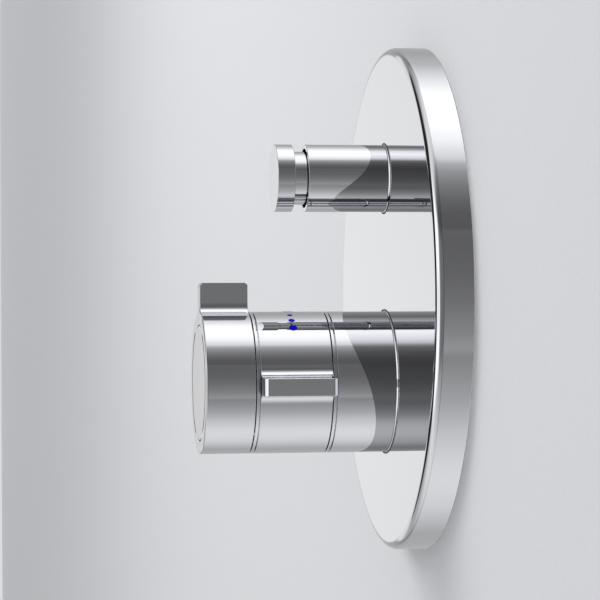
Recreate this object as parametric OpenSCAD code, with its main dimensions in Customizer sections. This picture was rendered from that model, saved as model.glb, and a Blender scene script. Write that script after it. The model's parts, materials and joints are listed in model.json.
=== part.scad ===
// Thermostatic shower valve for building into a wall, with two outlets.
// A round cover plate carries a large coaxial control and a small push knob.
// The finished wall is the plane y = 0. +Y goes into the wall, -Y comes out
// towards the user, +X is the user's right and +Z is up. The origin is the
// middle of the cover plate. All sizes are in millimetres.

/* [Cover plate] */
// Diameter of the round cover plate
plate_d = 170; // [160:1:190]
// Depth of the cover plate from its face to the wall
plate_t = 12; // [11:0.5:14]
// Thickness of the plate's front wall
plate_wall = 2.5; // [2:0.1:3]
// Thickness of the plate's rim
rim_wall = 3; // [2:0.1:4]
// Radius of the plate's front edge
plate_edge_r = 2.5; // [1:0.1:3]
// Gap between the rim and the wall, filled by the foam seal
wall_gap = 0.1; // [0.1:0.1:0.5]
// Width of the foam seal
seal_w = 4; // [3:0.5:6]
// Thickness of the foam seal
seal_t = 2; // [1.5:0.1:3]
// Thickness of the ledge that carries the foam seal
ledge_t = 2; // [1:0.1:3]
// Length of the collars behind the plate's holes
collar_len = 6.5; // [5:0.5:7.5]
// Wall of those collars
collar_wall = 2.8; // [2:0.1:4]

/* [Large control] */
// Distance of the large control's axis below the plate's middle
main_axis_below = 28.2; // [26:0.1:32]
// Diameter of the large control
main_d = 47.9; // [47:0.1:50]
// Wall of its sleeve and rings
main_wall = 1.8; // [1.5:0.1:2]
// Length of the fixed sleeve next to the plate
rear_sleeve_len = 19.7; // [17:0.1:24]
// Width of the spacer ring behind the flow ring
rear_spacer_w = 1; // [0.8:0.1:2]
// Width of the flow ring
flow_ring_w = 24; // [22:0.1:28]
// Width of the spacer ring in front of the flow ring
front_spacer_w = 1; // [0.8:0.1:2]
// Width of the temperature ring
temperature_ring_w = 16.4; // [15:0.1:22]
// Gap between neighbouring rings
seam = 0.3; // [0.2:0.05:0.5]
// Chamfer beside each seam
seam_chamfer = 0.25; // [0.1:0.05:0.5]
// Radius of the temperature ring's front edge
front_edge_r = 0.7; // [0.3:0.1:1.5]
// Diameter of the cap in the temperature ring
cap_d = 38.7; // [34:0.1:39.5]
// Thickness of that cap
cap_t = 2.3; // [1.5:0.1:3]

/* [Tabs] */
// Thickness of each finger tab
tab_t = 5.8; // [4:0.1:7]
// How far a tab stands out of its ring
tab_reach = 9.9; // [6:0.1:12]
// Radius of the hollow fillets where a tab meets its ring
tab_fillet_r = 4; // [2:0.1:5]
// Radius of a tab's corners, seen from the side
tab_corner_r = 1.4; // [0.6:0.1:2]
// Radius of a tab's long edges
tab_edge_r = 0.5; // [0.2:0.1:1]
// Angle of the flow ring's tab when closed, clockwise from the top
flow_tab_angle = 91; // [89:1:93]

/* [Diverter control] */
// Distance of the diverter's axis above the plate's middle
diverter_axis_above = 40.9; // [38:0.1:46]
// Diameter of the diverter knob and its sleeve
small_d = 22.8; // [22:0.1:24]
// Wall of the diverter sleeve
small_wall = 1.3; // [1:0.1:1.4]
// Length of the diverter sleeve
diverter_sleeve_len = 27.1; // [24:0.1:30]
// Visible length of the knob's neck
neck_gap = 4.5; // [4.5:0.1:6]
// Gap between the knob's neck and the bore of its sleeve
neck_play = 1.1; // [0.8:0.1:1.4]
// Length of the knob's head
head_len = 5.9; // [4:0.1:8]
// Radius of the knob's edges
head_edge_r = 0.2; // [0.2:0.1:1]
// Push travel of the diverter
diverter_travel = 4; // [3:0.1:4]

/* [Base rings] */
// Thickness of the conical rings between the plate and the sleeves
base_ring_t = 0.4; // [0.3:0.1:1.2]
// How far those rings stand out of the sleeves
base_ring_proud = 0.4; // [0.3:0.1:1]

/* [Water ports] */
// Radius of the bores for the half-inch pipe threads
port_r = 9.5; // [9:0.1:9.8]
// Length of the outlets' bores
port_len = 16; // [12:0.5:20]
// Distance of each inlet's mouth from the large control's axis
inlet_reach = 73; // [72:0.5:80]
// Distance of the top outlet's mouth above the diverter's axis
top_reach = 34.1; // [33:0.1:40]
// Distance of the side outlet's mouth from the diverter's axis
side_reach = 38; // [36:0.5:46]
// Radius of the hexagon ends, across their corners
port_hex_r = 16; // [15:0.5:18]
// Length of the hexagon ends
port_hex_len = 12; // [8:0.5:14]
// Outer radius of the pipe branches
branch_r = 13.5; // [13:0.5:15]

/* [Valve body] */
// Outer radius of the large chamber
body_r = 27; // [26.5:0.1:30]
// Depth of the body's front face behind the wall's face
body_front = 11; // [10.5:0.1:14]
// Thickness of the chamber's floor
floor_t = 5.2; // [4:0.1:8]
// Outer radius of the diverter chamber
diverter_body_r = 16.5; // [16:0.1:19]
// Width of the column between the chambers
column_w = 18; // [16:0.5:24]
// Depth of that column
column_t = 16; // [14:0.5:18]
// Radius of the passages for mixed water
passage_r = 5; // [4:0.1:5.2]

/* [Mounting bracket] */
// Width of the bracket
bracket_w = 150; // [140:1:180]
// Height of the bracket
bracket_h = 58; // [56:1:80]
// Thickness of the bracket
bracket_t = 3; // [2.8:0.1:4]
// Radius of the bracket's corners
bracket_corner_r = 6; // [3:0.5:10]
// Radius of the holes for the wall screws
wall_hole_r = 3; // [2:0.1:3.5]
// Distance of the wall screws from the bracket's edges
wall_hole_edge = 10; // [8:0.5:12]

/* [Hidden] */
$fn = 96;

// Colours of the finishes
chrome = "gainsboro";
brass = "darkkhaki";
rubber = [0.12, 0.12, 0.13];
steel = "darkgray";
ceramic = "whitesmoke";
plastic = "dimgray";
copper = "peru";

// Clearances: a sliding fit, a free gap, a seated piece and the overrun of cuts
fit = 0.05;
free = 0.3;
seat = 0.1;
cut = 1;

// Radii of the cartridge from the spindle outwards: tube, nut, bell, discs and housing
spindle_r = 5;
key_step = 1;
spindle_key_r = spindle_r - key_step;
tube_wall = 3;
tube_r = spindle_r + tube_wall;
collar_step = 3;
collar_r = spindle_r + collar_step;
nut_cup_step = 3;
nut_cup_r = spindle_r + nut_cup_step;
nut_wall = 2.3;
nut_r = nut_cup_r + nut_wall;
bell_bore_r = nut_r + seat;
bell_side_wall = 2.9;
bell_r = bell_bore_r + bell_side_wall;
nut_key_cover = 1.1;
nut_key_r = bell_r - nut_key_cover;
lug_wall = 1.8;
lug_in_r = bell_r - lug_wall;
disc_in_r = lug_in_r - 2 * seat;
disc_port_in_r = bell_r + 2 * seat;
disc_port_w = 3;
disc_port_out_r = disc_port_in_r + disc_port_w;
disc_land = 0.8;
rotating_disc_r = disc_port_out_r + disc_land;
fixed_disc_r = rotating_disc_r + 2 * seat;
housing_in_r = fixed_disc_r + free;
housing_wall = 2.2;
housing_r = housing_in_r + housing_wall;

// Places of the two axes, and radii and stations of the trim along them
main_z = -main_axis_below;
diverter_z = diverter_axis_above;
plate_r = plate_d / 2;
plate_face = -plate_t;
main_r = main_d / 2;
main_in_r = main_r - main_wall;
base_ring_front = plate_face - base_ring_t;
rear_sleeve_front = base_ring_front - rear_sleeve_len;
rear_spacer_back = rear_sleeve_front - seam;
rear_spacer_front = rear_spacer_back - rear_spacer_w;
flow_ring_back = rear_spacer_front - seam;
flow_ring_front = flow_ring_back - flow_ring_w;
front_spacer_back = flow_ring_front - seam;
front_spacer_front = front_spacer_back - front_spacer_w;
temperature_ring_back = front_spacer_front - seam;
temperature_ring_front = temperature_ring_back - temperature_ring_w;
tab_top_r = main_r + tab_reach;
fillet_x = tab_t / 2 + tab_fillet_r;
fillet_z = sqrt(pow(main_r + tab_fillet_r, 2) - pow(fillet_x, 2));
foot_share = main_r / (main_r + tab_fillet_r);

// Spigots of the spacer rings
spigot_wall = 1.9;
spigot_len = 3.2;
spigot_r = main_in_r - seat;

// Webs and hubs inside the two turning rings
flow_web_depth = 1.8;
flow_web_t = 6;
flow_web_front = flow_ring_front + flow_web_depth;
flow_web_back = flow_web_front + flow_web_t;
flow_hub_wall = 4;
flow_hub_r = tube_r + flow_hub_wall;
flow_hub_len = 8;
flow_hub_back = flow_web_back + flow_hub_len;
set_screw_r = 2;
set_screw_y = flow_web_back + flow_hub_len / 2;
set_screw_len = 5;
set_screw_socket_r = 1.15;
set_screw_socket_depth = 2.5;
set_screw_hole_r = 2.3;
cap_r = cap_d / 2;
cap_recess_depth = cap_t + fit;
cap_spigot_wall = 1.5;
cap_spigot_len = 2.2;
screw_room_step = 1.55;
screw_room_r = cap_r - screw_room_step;
screw_room_depth = 5.6;
temperature_hub_step = 2;
temperature_hub_r = spindle_r + temperature_hub_step;
temperature_hub_back = temperature_ring_back - seat;
screw_seat_t = 1.6;

// Stops that limit the temperature ring's turn, and the web that they meet
turn_each_way = 48;
stop_half_angle = 8;
stop_play = 1.5;
stop_lug_angle = 18;
stop_step = 2;
stop_in_r = tube_r + stop_step;
stop_lug_w = 5;
stop_out_r = stop_in_r + stop_lug_w;
stop_ring_t = 2;
stop_ring_front = flow_web_front - stop_ring_t;
stop_rise = 3.2;
stop_lug_front = stop_ring_front - stop_rise;
stop_overlap = 2;
stop_clearance = 1.95;
web_front = temperature_ring_front + cap_recess_depth + screw_room_depth;
web_back = stop_lug_front - stop_clearance;

// Spindle and flow tube
key_flat = 1;
spindle_bore_r = spindle_r + fit;
tube_front = flow_ring_front + free;
clip_t = 0.7;
clip_w = 2;
clip_r = spindle_r + clip_w;
clip_groove_depth = 0.7;
clip_back = tube_front - free;
clip_front = clip_back - clip_t;
spindle_key_back = temperature_hub_back;
spindle_front = web_front + screw_seat_t + free;
tap_r = 1.7;
tap_len = 12;
screw_r = 2;
screw_head_r = 3.5;
screw_head_len = 3.6;
screw_len = 9;
screw_socket_r = 1.7;
screw_socket_depth = 2;
seal_wire_d = 1.5;
small_groove_depth = 1.45;
small_groove_w = 1.9;
spindle_seal_place = 16;

// Bonnet, which carries the carrier tube on its neck
carrier_gap = 0.5;
carrier_r = main_in_r - carrier_gap;
carrier_wall = 2.7;
bonnet_neck_r = carrier_r - carrier_wall;
bonnet_neck_len = 8;
bonnet_flange_t = 5;
mouth_step = 2;
mouth_r = housing_r + mouth_step;
flange_lip = 1;
bonnet_flange_across = 2 * (mouth_r + flange_lip);
bonnet_neck_front = body_front - bonnet_flange_t - bonnet_neck_len;
bonnet_thread_len = 8;
bonnet_back = body_front + bonnet_thread_len;
bonnet_hub_wall = 3;
bonnet_room_in_r = tube_r + bonnet_hub_wall;
bonnet_neck_wall = 2.5;
bonnet_room_out_r = bonnet_neck_r - bonnet_neck_wall;
bonnet_room_depth = 6;
tube_seal_place = 3.5;
bonnet_seal_d = 1.8;
bonnet_groove_depth = 1.75;
bonnet_groove_w = 2.2;

// Carrier tube with the rings that grip the plate and the sleeve
carrier_step = 1.5;
carrier_in_r = bonnet_neck_r - carrier_step;
carrier_front = rear_spacer_front + spigot_len + free;
grip_d = 2;
grip_w = 2.4;
grip_place = 3;
plate_grip_y = plate_face + plate_wall + collar_len / 2;

// Bell of the flow tube and the temperature nut inside it
bell_front = bonnet_back + free;
bell_wall_t = 3;
bell_len = 17.7;
bell_back = bell_front + bell_len;
spindle_collar_t = 1.6;
collar_front = bell_front + bell_wall_t + 2 * seat;
collar_back = collar_front + spindle_collar_t;
nut_gap = 1.9;
nut_front = collar_back + nut_gap;
nut_thread_len = 6;
nut_len = 18.5;
nut_back = nut_front + nut_len;
nut_cup_front = nut_front + nut_thread_len;
nut_key_w = 4;
nut_key_len = 9;
key_slot_w = nut_key_w + 2 * seat;
key_slot_spare = 1.5;
key_slot_front = nut_front - key_slot_spare;
spindle_end_gap = 1;
spindle_back = nut_cup_front - spindle_end_gap;
nut_clip_t = 0.7;
nut_clip_groove = 0.6;
nut_clip_inset = 0.9;
nut_clip_back = nut_back - nut_clip_inset;
nut_clip_front = nut_clip_back - nut_clip_t;
nut_clip_in_r = nut_cup_r - clip_w;
plunger_flange_t = 1.2;
plunger_flange_back = nut_clip_front - 2 * seat;
plunger_flange_front = plunger_flange_back - plunger_flange_t;
plunger_r = 3;
plunger_len = 3.8;
plunger_back = plunger_flange_back + plunger_len;
overload_wire_r = 0.8;
overload_play = 1;
overload_mean_r = nut_cup_r - overload_wire_r - overload_play;
overload_turns = 3;

// Ceramic discs
disc_t = 4;
disc_film = 0.05;
disc_port_angle = 80;
rotating_front = bell_back;
rotating_back = rotating_front + disc_t;
fixed_front = rotating_back + disc_film;
fixed_back = fixed_front + disc_t;
lug_half_angle = 14;
lug_play = 1.5;
lug_back = rotating_front + disc_t / 2;
disc_notch_depth = 0.8;
disc_notch_w = 3;
disc_seal_t = 0.5;

// Wax element
pin_r = 2;
pin_len = 3.5;
guide_r = 3.5;
guide_len = 4;
element_flange_r = 6.5;
element_flange_t = 1.5;
element_r = 4.5;

// Cartridge housing
chamber_gap = 0.1;
shoulder_r = disc_port_out_r + seat;
shoulder_y = fixed_back + disc_seal_t;
disc_room_len = 4.2;
element_room_front = shoulder_y + disc_room_len;
element_play = 3.1;
element_room_r = element_flange_r + element_play;
window_r = 4.5;
window_count = 6;
window_place = 10.5;
window_y = bonnet_back + window_place;
shuttle_land = 1.4;
shuttle_r = element_room_r + shuttle_land;
shuttle_bore_r = shuttle_r + fit;
shuttle_bore_len = 5.2;
recess_depth = 2.5;
recess_r = shuttle_r + recess_depth;
recess_len = 1.9;
seat_gap = 0.9;
element_room_len = 11;
cold_seat = element_room_front + element_room_len;
shuttle_bore_front = cold_seat + recess_len;
shuttle_bore_back = shuttle_bore_front + shuttle_bore_len;
hot_seat = shuttle_bore_back + recess_len;
shuttle_front = cold_seat + seat_gap;
shuttle_back = hot_seat - seat_gap;
cold_y = cold_seat + recess_len / 2;
hot_y = hot_seat - recess_len / 2;
inlet_y = (cold_y + hot_y) / 2;
ring_channel_w = 3;
feed_wall = 2.5;
ring_channel_r = recess_r + feed_wall;
feed_r = 1.4;
feed_count = 8;
spring_room_len = 10.3;
spring_room_back = hot_seat + spring_room_len;
housing_floor_t = 2.7;
housing_back = spring_room_back + housing_floor_t;
cartridge_groove_depth = 1.65;
cartridge_groove_w = 2.1;
seal_spacing = 9.5;

// Places of the wax element, and the mixing shuttle on it
pin_front = plunger_back + fit;
guide_front = pin_front + pin_len;
element_flange_front = guide_front + guide_len;
element_front = element_flange_front + element_flange_t;
element_back = shuttle_back;
shuttle_wall = 2;
shuttle_hub_wall = 1.1;
spoke_w = 2;
spoke_len = 4.5;
spoke_count = 4;
spoke_inset = 1.4;
spoke_back = shuttle_back - spoke_inset;
spoke_front = spoke_back - spoke_len;
shuttle_seal_d = 1.1;
shuttle_groove_depth = 1.1;
shuttle_groove_w = 1.4;
return_mean_r = 6.8;
return_wire_r = 0.6;
return_turns = 5;

// Body chambers
chamber_r = housing_r + chamber_gap;
chamber_back = housing_back + free;
body_back = chamber_back + floor_t;
mixed_recess_wall = 3.5;
mixed_recess_r = body_r - mixed_recess_wall;
mixed_recess_place = 3;
mixed_recess_front = bonnet_back + mixed_recess_place;
mixed_recess_len = 19;
riser_inset = 3;
riser_y = mixed_recess_front + mixed_recess_len - riser_inset;
feed_passage_r = 2.8;
body_screw_edge = 3.4;
body_screw_circle_r = body_r - body_screw_edge;
body_screw_r = 2;
body_screw_tip_wall = 0.6;
body_screw_depth = floor_t - body_screw_tip_wall;
body_screw_head_r = 3.8;
body_screw_head_len = 2;
bracket_back = body_back + bracket_t;
wall_hole_x = bracket_w / 2 - wall_hole_edge;
wall_hole_z = bracket_h / 2 - wall_hole_edge;

// Check valves and strainers in the inlets, as distances from the axis
strainer_ledge = 0.4;
strainer_seat_r = port_r - strainer_ledge;
strainer_rim_r = strainer_seat_r - seat;
check_step = 0.6;
check_r = strainer_seat_r - check_step;
check_bore_r = check_r + seat;
feed_passage_len = 7.9;
check_in = chamber_r + feed_passage_len;
check_inner = check_in + free;
check_len = 17.7;
check_outer = check_inner + check_len;
check_wall = 1.7;
check_seat_t = 2.5;
check_seat_w = 3.7;
check_seat_r = check_r - check_seat_w;
check_seat_x = check_outer - check_seat_t;
check_travel = 3.5;
poppet_land = 1.2;
poppet_r = check_seat_r + poppet_land;
poppet_t = 1.9;
poppet_head_x = check_seat_x - seat - poppet_t;
poppet_stem_r = 1.5;
poppet_stem_spare = 0.7;
poppet_stem_x = check_inner + check_travel + poppet_stem_spare;
spider_place = 2.7;
spider_x = check_inner + spider_place;
spider_t = 3;
spider_hub_r = 2.8;
spider_arm_w = 1.6;
check_spring_mean_r = 3.5;
check_spring_wire_r = 0.4;
check_spring_turns = 3;
strainer_gap = 2.1;
basket_end = check_outer + strainer_gap;
strainer_len = 7.5;
strainer_rim_t = 1.4;
port_back = basket_end + strainer_len + strainer_rim_t;
strainer_seat_x = port_back - strainer_rim_t - seat;
strainer_rim_w = 2.8;
strainer_basket_r = strainer_rim_r - strainer_rim_w;
strainer_wall = 0.7;
strainer_hole_r = 0.9;
strainer_rows = 3;
strainer_holes = 10;

// Diverter
small_r = small_d / 2;
small_in_r = small_r - small_wall;
neck_r = small_in_r - neck_play;
diverter_sleeve_front = base_ring_front - diverter_sleeve_len;
head_back = diverter_sleeve_front - neck_gap;
head_front = head_back - head_len;
diverter_body_step = 3;
diverter_body_front = body_front + diverter_body_step;
diverter_flange_t = 5;
neck_room = 0.6;
diverter_neck_r = small_in_r - neck_room;
diverter_neck_back = diverter_body_front - diverter_flange_t;
diverter_neck_reach = 7.5;
diverter_neck_front = base_ring_front - diverter_neck_reach;
skirt_wall = 1.4;
skirt_in_r = neck_r - skirt_wall;
guide_neck_r = skirt_in_r - free;
guide_neck_inset = 3.7;
guide_neck_front = diverter_sleeve_front + guide_neck_inset;
skirt_back = diverter_neck_front - diverter_travel - free;
skirt_gap = 0.5;
skirt_floor = guide_neck_front - diverter_travel - skirt_gap;
neck_seal_d = 1.6;
neck_groove_w = 2;
stem_r = 4;
stem_step_w = 1;
stem_thread_r = stem_r - stem_step_w;
stem_thread_len = 6;
stem_front = skirt_floor - stem_thread_len;
stem_shoulder = skirt_floor + seat;
stem_seal_d = 1.1;
stem_groove_depth = 1.05;
stem_groove_w = 1.4;
diverter_thread_len = 8;
cage_front = diverter_body_front + diverter_thread_len;
valve_seat_t = 2;
seat_passage = 1.5;
valve_seat_r = stem_r + seat_passage;
valve_seat_w = 3.5;
cage_in_r = valve_seat_r + valve_seat_w;
cage_wall = 3;
cage_r = cage_in_r + cage_wall;
cage_bore_r = cage_r + fit;
diverter_mouth_step = 1;
diverter_mouth_r = cage_r + diverter_mouth_step;
diverter_flange_across = 2 * (diverter_mouth_r + flange_lip);
cage_window_r = 2.8;
cage_windows = 6;
side_y = diverter_body_front + branch_r + seat;
seat_space = 0.6;
front_seat_front = side_y + cage_window_r + seat_space;
front_seat_back = front_seat_front + valve_seat_t;
middle_room_len = 13;
rear_seat_front = front_seat_back + middle_room_len;
rear_seat_back = rear_seat_front + valve_seat_t;
cage_channel_depth = 1.2;
cage_channel_r = cage_r - cage_channel_depth;
cage_channel_w = 7;
top_place = 5;
top_y = rear_seat_back + top_place;
cage_end_len = 5;
cage_back = top_y + cage_end_len;
diverter_room_back = cage_back + free;
diverter_floor_t = 4.5;
diverter_body_back = diverter_room_back + diverter_floor_t;
cage_mid_y = riser_y;
cage_groove_depth = 1.5;
cage_groove_w = 1.9;
front_cage_seal_y = (side_y + cage_mid_y) / 2;
rear_cage_seal_y = (cage_mid_y + top_y) / 2;
spool_len = middle_room_len - diverter_travel - 2 * fit;
spool_front = front_seat_back + fit;
spool_back = spool_front + spool_len;
spool_seal_t = 1;
spool_flange_t = 1.5;
spool_play = 1.2;
spool_flange_r = cage_in_r - spool_play;
spool_seal_r = spool_flange_r - 2 * seat;
stem_tail_r = stem_r - stem_step_w;
spool_wall = 2;
spool_core_r = stem_tail_r + spool_wall;
stem_step = spool_front;
spool_nut_t = 2;
spool_nut_wall = 1;
spool_nut_across = 2 * (stem_tail_r + spool_nut_wall);
spool_nut_back = spool_back + spool_nut_t;
diverter_grip_place = 4;

// Solid of revolution about the Y axis, from an outline of radius and depth
module turned() {
    rotate([-90, 0, 0]) rotate_extrude() children();
}

// Round bar and ring along Y, between two depths
module rod(r, from, to) {
    translate([0, from, 0]) rotate([-90, 0, 0]) cylinder(h = to - from, r = r);
}

module ring(out_r, in_r, from, to) {
    difference() {
        rod(out_r, from, to);
        rod(in_r, from - cut, to + cut);
    }
}

// Ring sector centred on +Z, between two depths
module sector(out_r, in_r, half_angle, from, to) {
    translate([0, from, 0]) rotate([-90, 0, 0]) rotate([0, 0, -90 - half_angle])
        rotate_extrude(angle = 2 * half_angle)
            translate([in_r, 0]) square([out_r - in_r, to - from]);
}

// Round bar with a flat on its upper side, as a key
module keyed_rod(r, flat, from, to) {
    intersection() {
        rod(r, from, to);
        translate([-r - cut, from - cut, -r - cut])
            cube([2 * (r + cut), to - from + 2 * cut, 2 * r + cut - flat]);
    }
}

// Rubber ring of round section that sits on radius groove_r at one depth
module o_ring(groove_r, wire_d, y) {
    turned() translate([groove_r + wire_d / 2, y]) circle(d = wire_d, $fn = 24);
}

// Ring-shaped groove cut from radius r down by depth, centred at y
module groove(r, depth, w, y) {
    ring(r + cut, r - depth, y - w / 2, y + w / 2);
}

// Hexagon bar along Y
module hex_rod(across, from, to) {
    translate([0, from, 0]) rotate([-90, 0, 0])
        cylinder(h = to - from, d = across / cos(30), $fn = 6);
}

module at_main() {
    translate([0, 0, main_z]) children();
}

module at_diverter() {
    translate([0, 0, diverter_z]) children();
}

// Compression spring of round wire along Y, with its ends at two depths
spring_sides = 6;
spring_steps = 10;
function spring_point(i, k, mean_r, wire_r, from, to, turns) =
    let (a = 360 * i / spring_steps, b = 360 * k / spring_sides,
         share = i / (turns * spring_steps), r = mean_r + wire_r * cos(b))
    [r * cos(a), from + wire_r + (to - from - 2 * wire_r) * share + wire_r * sin(b), r * sin(a)];
function spring_corner(i, k) = i * spring_sides + k % spring_sides;

module coil_spring(mean_r, wire_r, from, to, turns) {
    rings = turns * spring_steps;
    polyhedron(
        points = [for (i = [0:rings], k = [0:spring_sides - 1])
            spring_point(i, k, mean_r, wire_r, from, to, turns)],
        faces = concat(
            [[for (k = [0:spring_sides - 1]) k]],
            [for (i = [0:rings - 1], k = [0:spring_sides - 1])
                [spring_corner(i, k + 1), spring_corner(i, k), spring_corner(i + 1, k + 1)]],
            [for (i = [0:rings - 1], k = [0:spring_sides - 1])
                [spring_corner(i, k), spring_corner(i + 1, k), spring_corner(i + 1, k + 1)]],
            [[for (k = [spring_sides - 1:-1:0]) spring_corner(rings, k)]]),
        convexity = 8);
}

// Plate: a dished shell with a rounded edge and a collar behind each hole
module plate_hole_collar(hole_r) {
    rod(hole_r + collar_wall, plate_face + plate_wall / 2, plate_face + plate_wall + collar_len);
}

module escutcheon() {
    ledge_back = -seal_t;
    color(chrome) difference() {
        union() {
            turned() difference() {
                union() {
                    translate([0, plate_face]) square([plate_r - plate_edge_r, plate_edge_r]);
                    translate([0, plate_face + plate_edge_r])
                        square([plate_r, plate_t - plate_edge_r - wall_gap]);
                    translate([plate_r - plate_edge_r, plate_face + plate_edge_r])
                        circle(r = plate_edge_r);
                }
                translate([0, plate_face + plate_wall]) square([plate_r - rim_wall, plate_t]);
            }
            ring(plate_r - rim_wall / 2, plate_r - rim_wall - seal_w, ledge_back - ledge_t, ledge_back);
            at_main() plate_hole_collar(main_in_r);
            at_diverter() plate_hole_collar(small_in_r);
        }
        at_main() rod(main_in_r, plate_face - cut, cut);
        at_diverter() rod(small_in_r, plate_face - cut, cut);
    }
}

module escutcheon_seal() {
    seal_out_r = plate_r - rim_wall - seat;
    color(rubber) ring(seal_out_r, seal_out_r - seal_w + 2 * seat, -seal_t, 0);
}

// Thin ring whose cone widens from the sleeve to the plate
module base_ring(sleeve_r, sleeve_in_r) {
    turned() polygon([[sleeve_in_r + seat, base_ring_front], [sleeve_r, base_ring_front],
        [sleeve_r + base_ring_proud, plate_face], [sleeve_in_r + seat, plate_face]]);
}

module main_base_ring() {
    color(chrome) at_main() base_ring(main_r, main_in_r);
}

module diverter_base_ring() {
    color(chrome) at_diverter() base_ring(small_r, small_in_r);
}

// Tube with chamfered outer edges
module chamfered_tube(out_r, in_r, from, to, chamfer) {
    turned() polygon([[in_r, from], [out_r - chamfer, from], [out_r, from + chamfer],
        [out_r, to - chamfer], [out_r - chamfer, to], [in_r, to]]);
}

module rear_sleeve() {
    color(chrome) at_main()
        chamfered_tube(main_r, main_in_r, rear_sleeve_front, base_ring_front, seam_chamfer);
}

// Spacer ring with a spigot that reaches back into its neighbour
module spacer(front, back, spigot_back) {
    chamfered_tube(main_r, spigot_r - spigot_wall, front, back, seam_chamfer / 2);
    ring(spigot_r, spigot_r - spigot_wall, front, spigot_back);
}

module rear_spacer() {
    color(chrome) at_main()
        spacer(rear_spacer_front, rear_spacer_back, rear_spacer_front + spigot_len);
}

module front_spacer() {
    color(chrome) at_main()
        spacer(front_spacer_front, front_spacer_back, flow_web_front - seat);
}

// Tube that carries the plate and the rear sleeve on three rubber rings
carrier_groove_r = main_in_r - fit - grip_d;
sleeve_grips = [carrier_front + grip_place, base_ring_front - grip_place];

module carrier_tube() {
    color(brass) at_main() difference() {
        ring(carrier_r, carrier_in_r, carrier_front, bonnet_neck_front + bonnet_neck_len);
        rod(bonnet_neck_r + fit, bonnet_neck_front - free, body_front);
        for (y = concat([plate_grip_y], sleeve_grips))
            groove(carrier_r, carrier_r - carrier_groove_r + fit, grip_w, y);
    }
}

module carrier_seals() {
    color(rubber) at_main()
        for (y = concat([plate_grip_y], sleeve_grips)) o_ring(carrier_groove_r, grip_d, y);
}

// Finger tab on a ring between two depths, pointing up
module tab(from, to) {
    intersection() {
        translate([0, to, 0]) rotate([90, 0, 0]) linear_extrude(height = to - from) {
            translate([-tab_t / 2, 0]) square([tab_t, tab_top_r - tab_edge_r]);
            translate([-tab_t / 2 + tab_edge_r, 0]) square([tab_t - 2 * tab_edge_r, tab_top_r]);
            for (side = [-1, 1])
                translate([side * (tab_t / 2 - tab_edge_r), tab_top_r - tab_edge_r])
                    circle(r = tab_edge_r, $fn = 24);
            for (side = [0, 1]) mirror([side, 0]) difference() {
                polygon([[0, main_r / 2], [0, fillet_z], [fillet_x, fillet_z],
                    [fillet_x * foot_share, fillet_z * foot_share]]);
                translate([fillet_x, fillet_z]) circle(r = tab_fillet_r);
            }
        }
        rotate([90, 0, 90]) linear_extrude(height = 2 * main_r, center = true) {
            translate([from, 0]) square([to - from, tab_top_r - tab_corner_r]);
            translate([from + tab_corner_r, 0]) square([to - from - 2 * tab_corner_r, tab_top_r]);
            for (y = [from + tab_corner_r, to - tab_corner_r])
                translate([y, tab_top_r - tab_corner_r]) circle(r = tab_corner_r);
        }
    }
}

module flow_ring() {
    color(chrome) at_main() difference() {
        union() {
            difference() {
                union() {
                    chamfered_tube(main_r, main_in_r - cut, flow_ring_front, flow_ring_back, seam_chamfer);
                    rotate([0, flow_tab_angle, 0]) tab(flow_ring_front, flow_ring_back);
                }
                rod(main_in_r, flow_ring_front - cut, flow_ring_back + cut);
            }
            rod(main_in_r + main_wall / 2, flow_web_front, flow_web_back);
            rod(flow_hub_r, flow_web_front, flow_hub_back);
        }
        keyed_rod(tube_r + fit, key_flat - fit, flow_web_front - cut, flow_hub_back + cut);
        translate([0, set_screw_y, -main_r - cut]) cylinder(h = main_r + cut, r = set_screw_hole_r);
    }
}

// Headless screw that locks the flow ring on its tube, from below
module flow_set_screw() {
    screw_top = -tube_r - seat;
    color(steel) at_main() difference() {
        translate([0, set_screw_y, screw_top - set_screw_len]) cylinder(h = set_screw_len, r = set_screw_r);
        translate([0, set_screw_y, screw_top - set_screw_len - cut])
            cylinder(h = set_screw_socket_depth + cut, r = set_screw_socket_r, $fn = 6);
    }
}

// Ring on the flow ring's web with the lug that stops the temperature ring
module stop_ring() {
    color(plastic) at_main() difference() {
        union() {
            ring(stop_out_r + free, tube_r + free, stop_ring_front, flow_web_front);
            rotate([0, 180, 0])
                sector(stop_out_r, stop_in_r, stop_half_angle, stop_lug_front, flow_web_front - seat);
        }
    }
}

module temperature_ring() {
    stop_start = stop_half_angle + turn_each_way + stop_play;
    color(chrome) at_main() difference() {
        union() {
            difference() {
                union() {
                    turned() {
                        translate([0, temperature_ring_front])
                            square([main_r - front_edge_r, front_edge_r]);
                        translate([main_r - front_edge_r, temperature_ring_front + front_edge_r])
                            circle(r = front_edge_r, $fn = 24);
                        polygon([[0, temperature_ring_front + front_edge_r],
                            [main_r, temperature_ring_front + front_edge_r],
                            [main_r, temperature_ring_back - seam_chamfer],
                            [main_r - seam_chamfer, temperature_ring_back],
                            [0, temperature_ring_back]]);
                    }
                    tab(temperature_ring_front, temperature_ring_back);
                }
                rod(main_in_r, web_back, temperature_ring_back + cut);
            }
            rod(temperature_hub_r, web_front, temperature_hub_back);
            for (side = [-1, 1]) rotate([0, 180 + side * (stop_start + stop_lug_angle / 2), 0])
                sector(stop_out_r, stop_in_r, stop_lug_angle / 2, web_back - seat, stop_lug_front + stop_overlap);
        }
        rod(cap_r + seam, temperature_ring_front - cut, temperature_ring_front + cap_recess_depth);
        rod(screw_room_r, temperature_ring_front - cut, web_front);
        rod(screw_r + seat, web_front - cut, temperature_ring_back);
        keyed_rod(spindle_key_r + fit, key_flat - fit, web_front + screw_seat_t, temperature_ring_back);
    }
}

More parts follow.
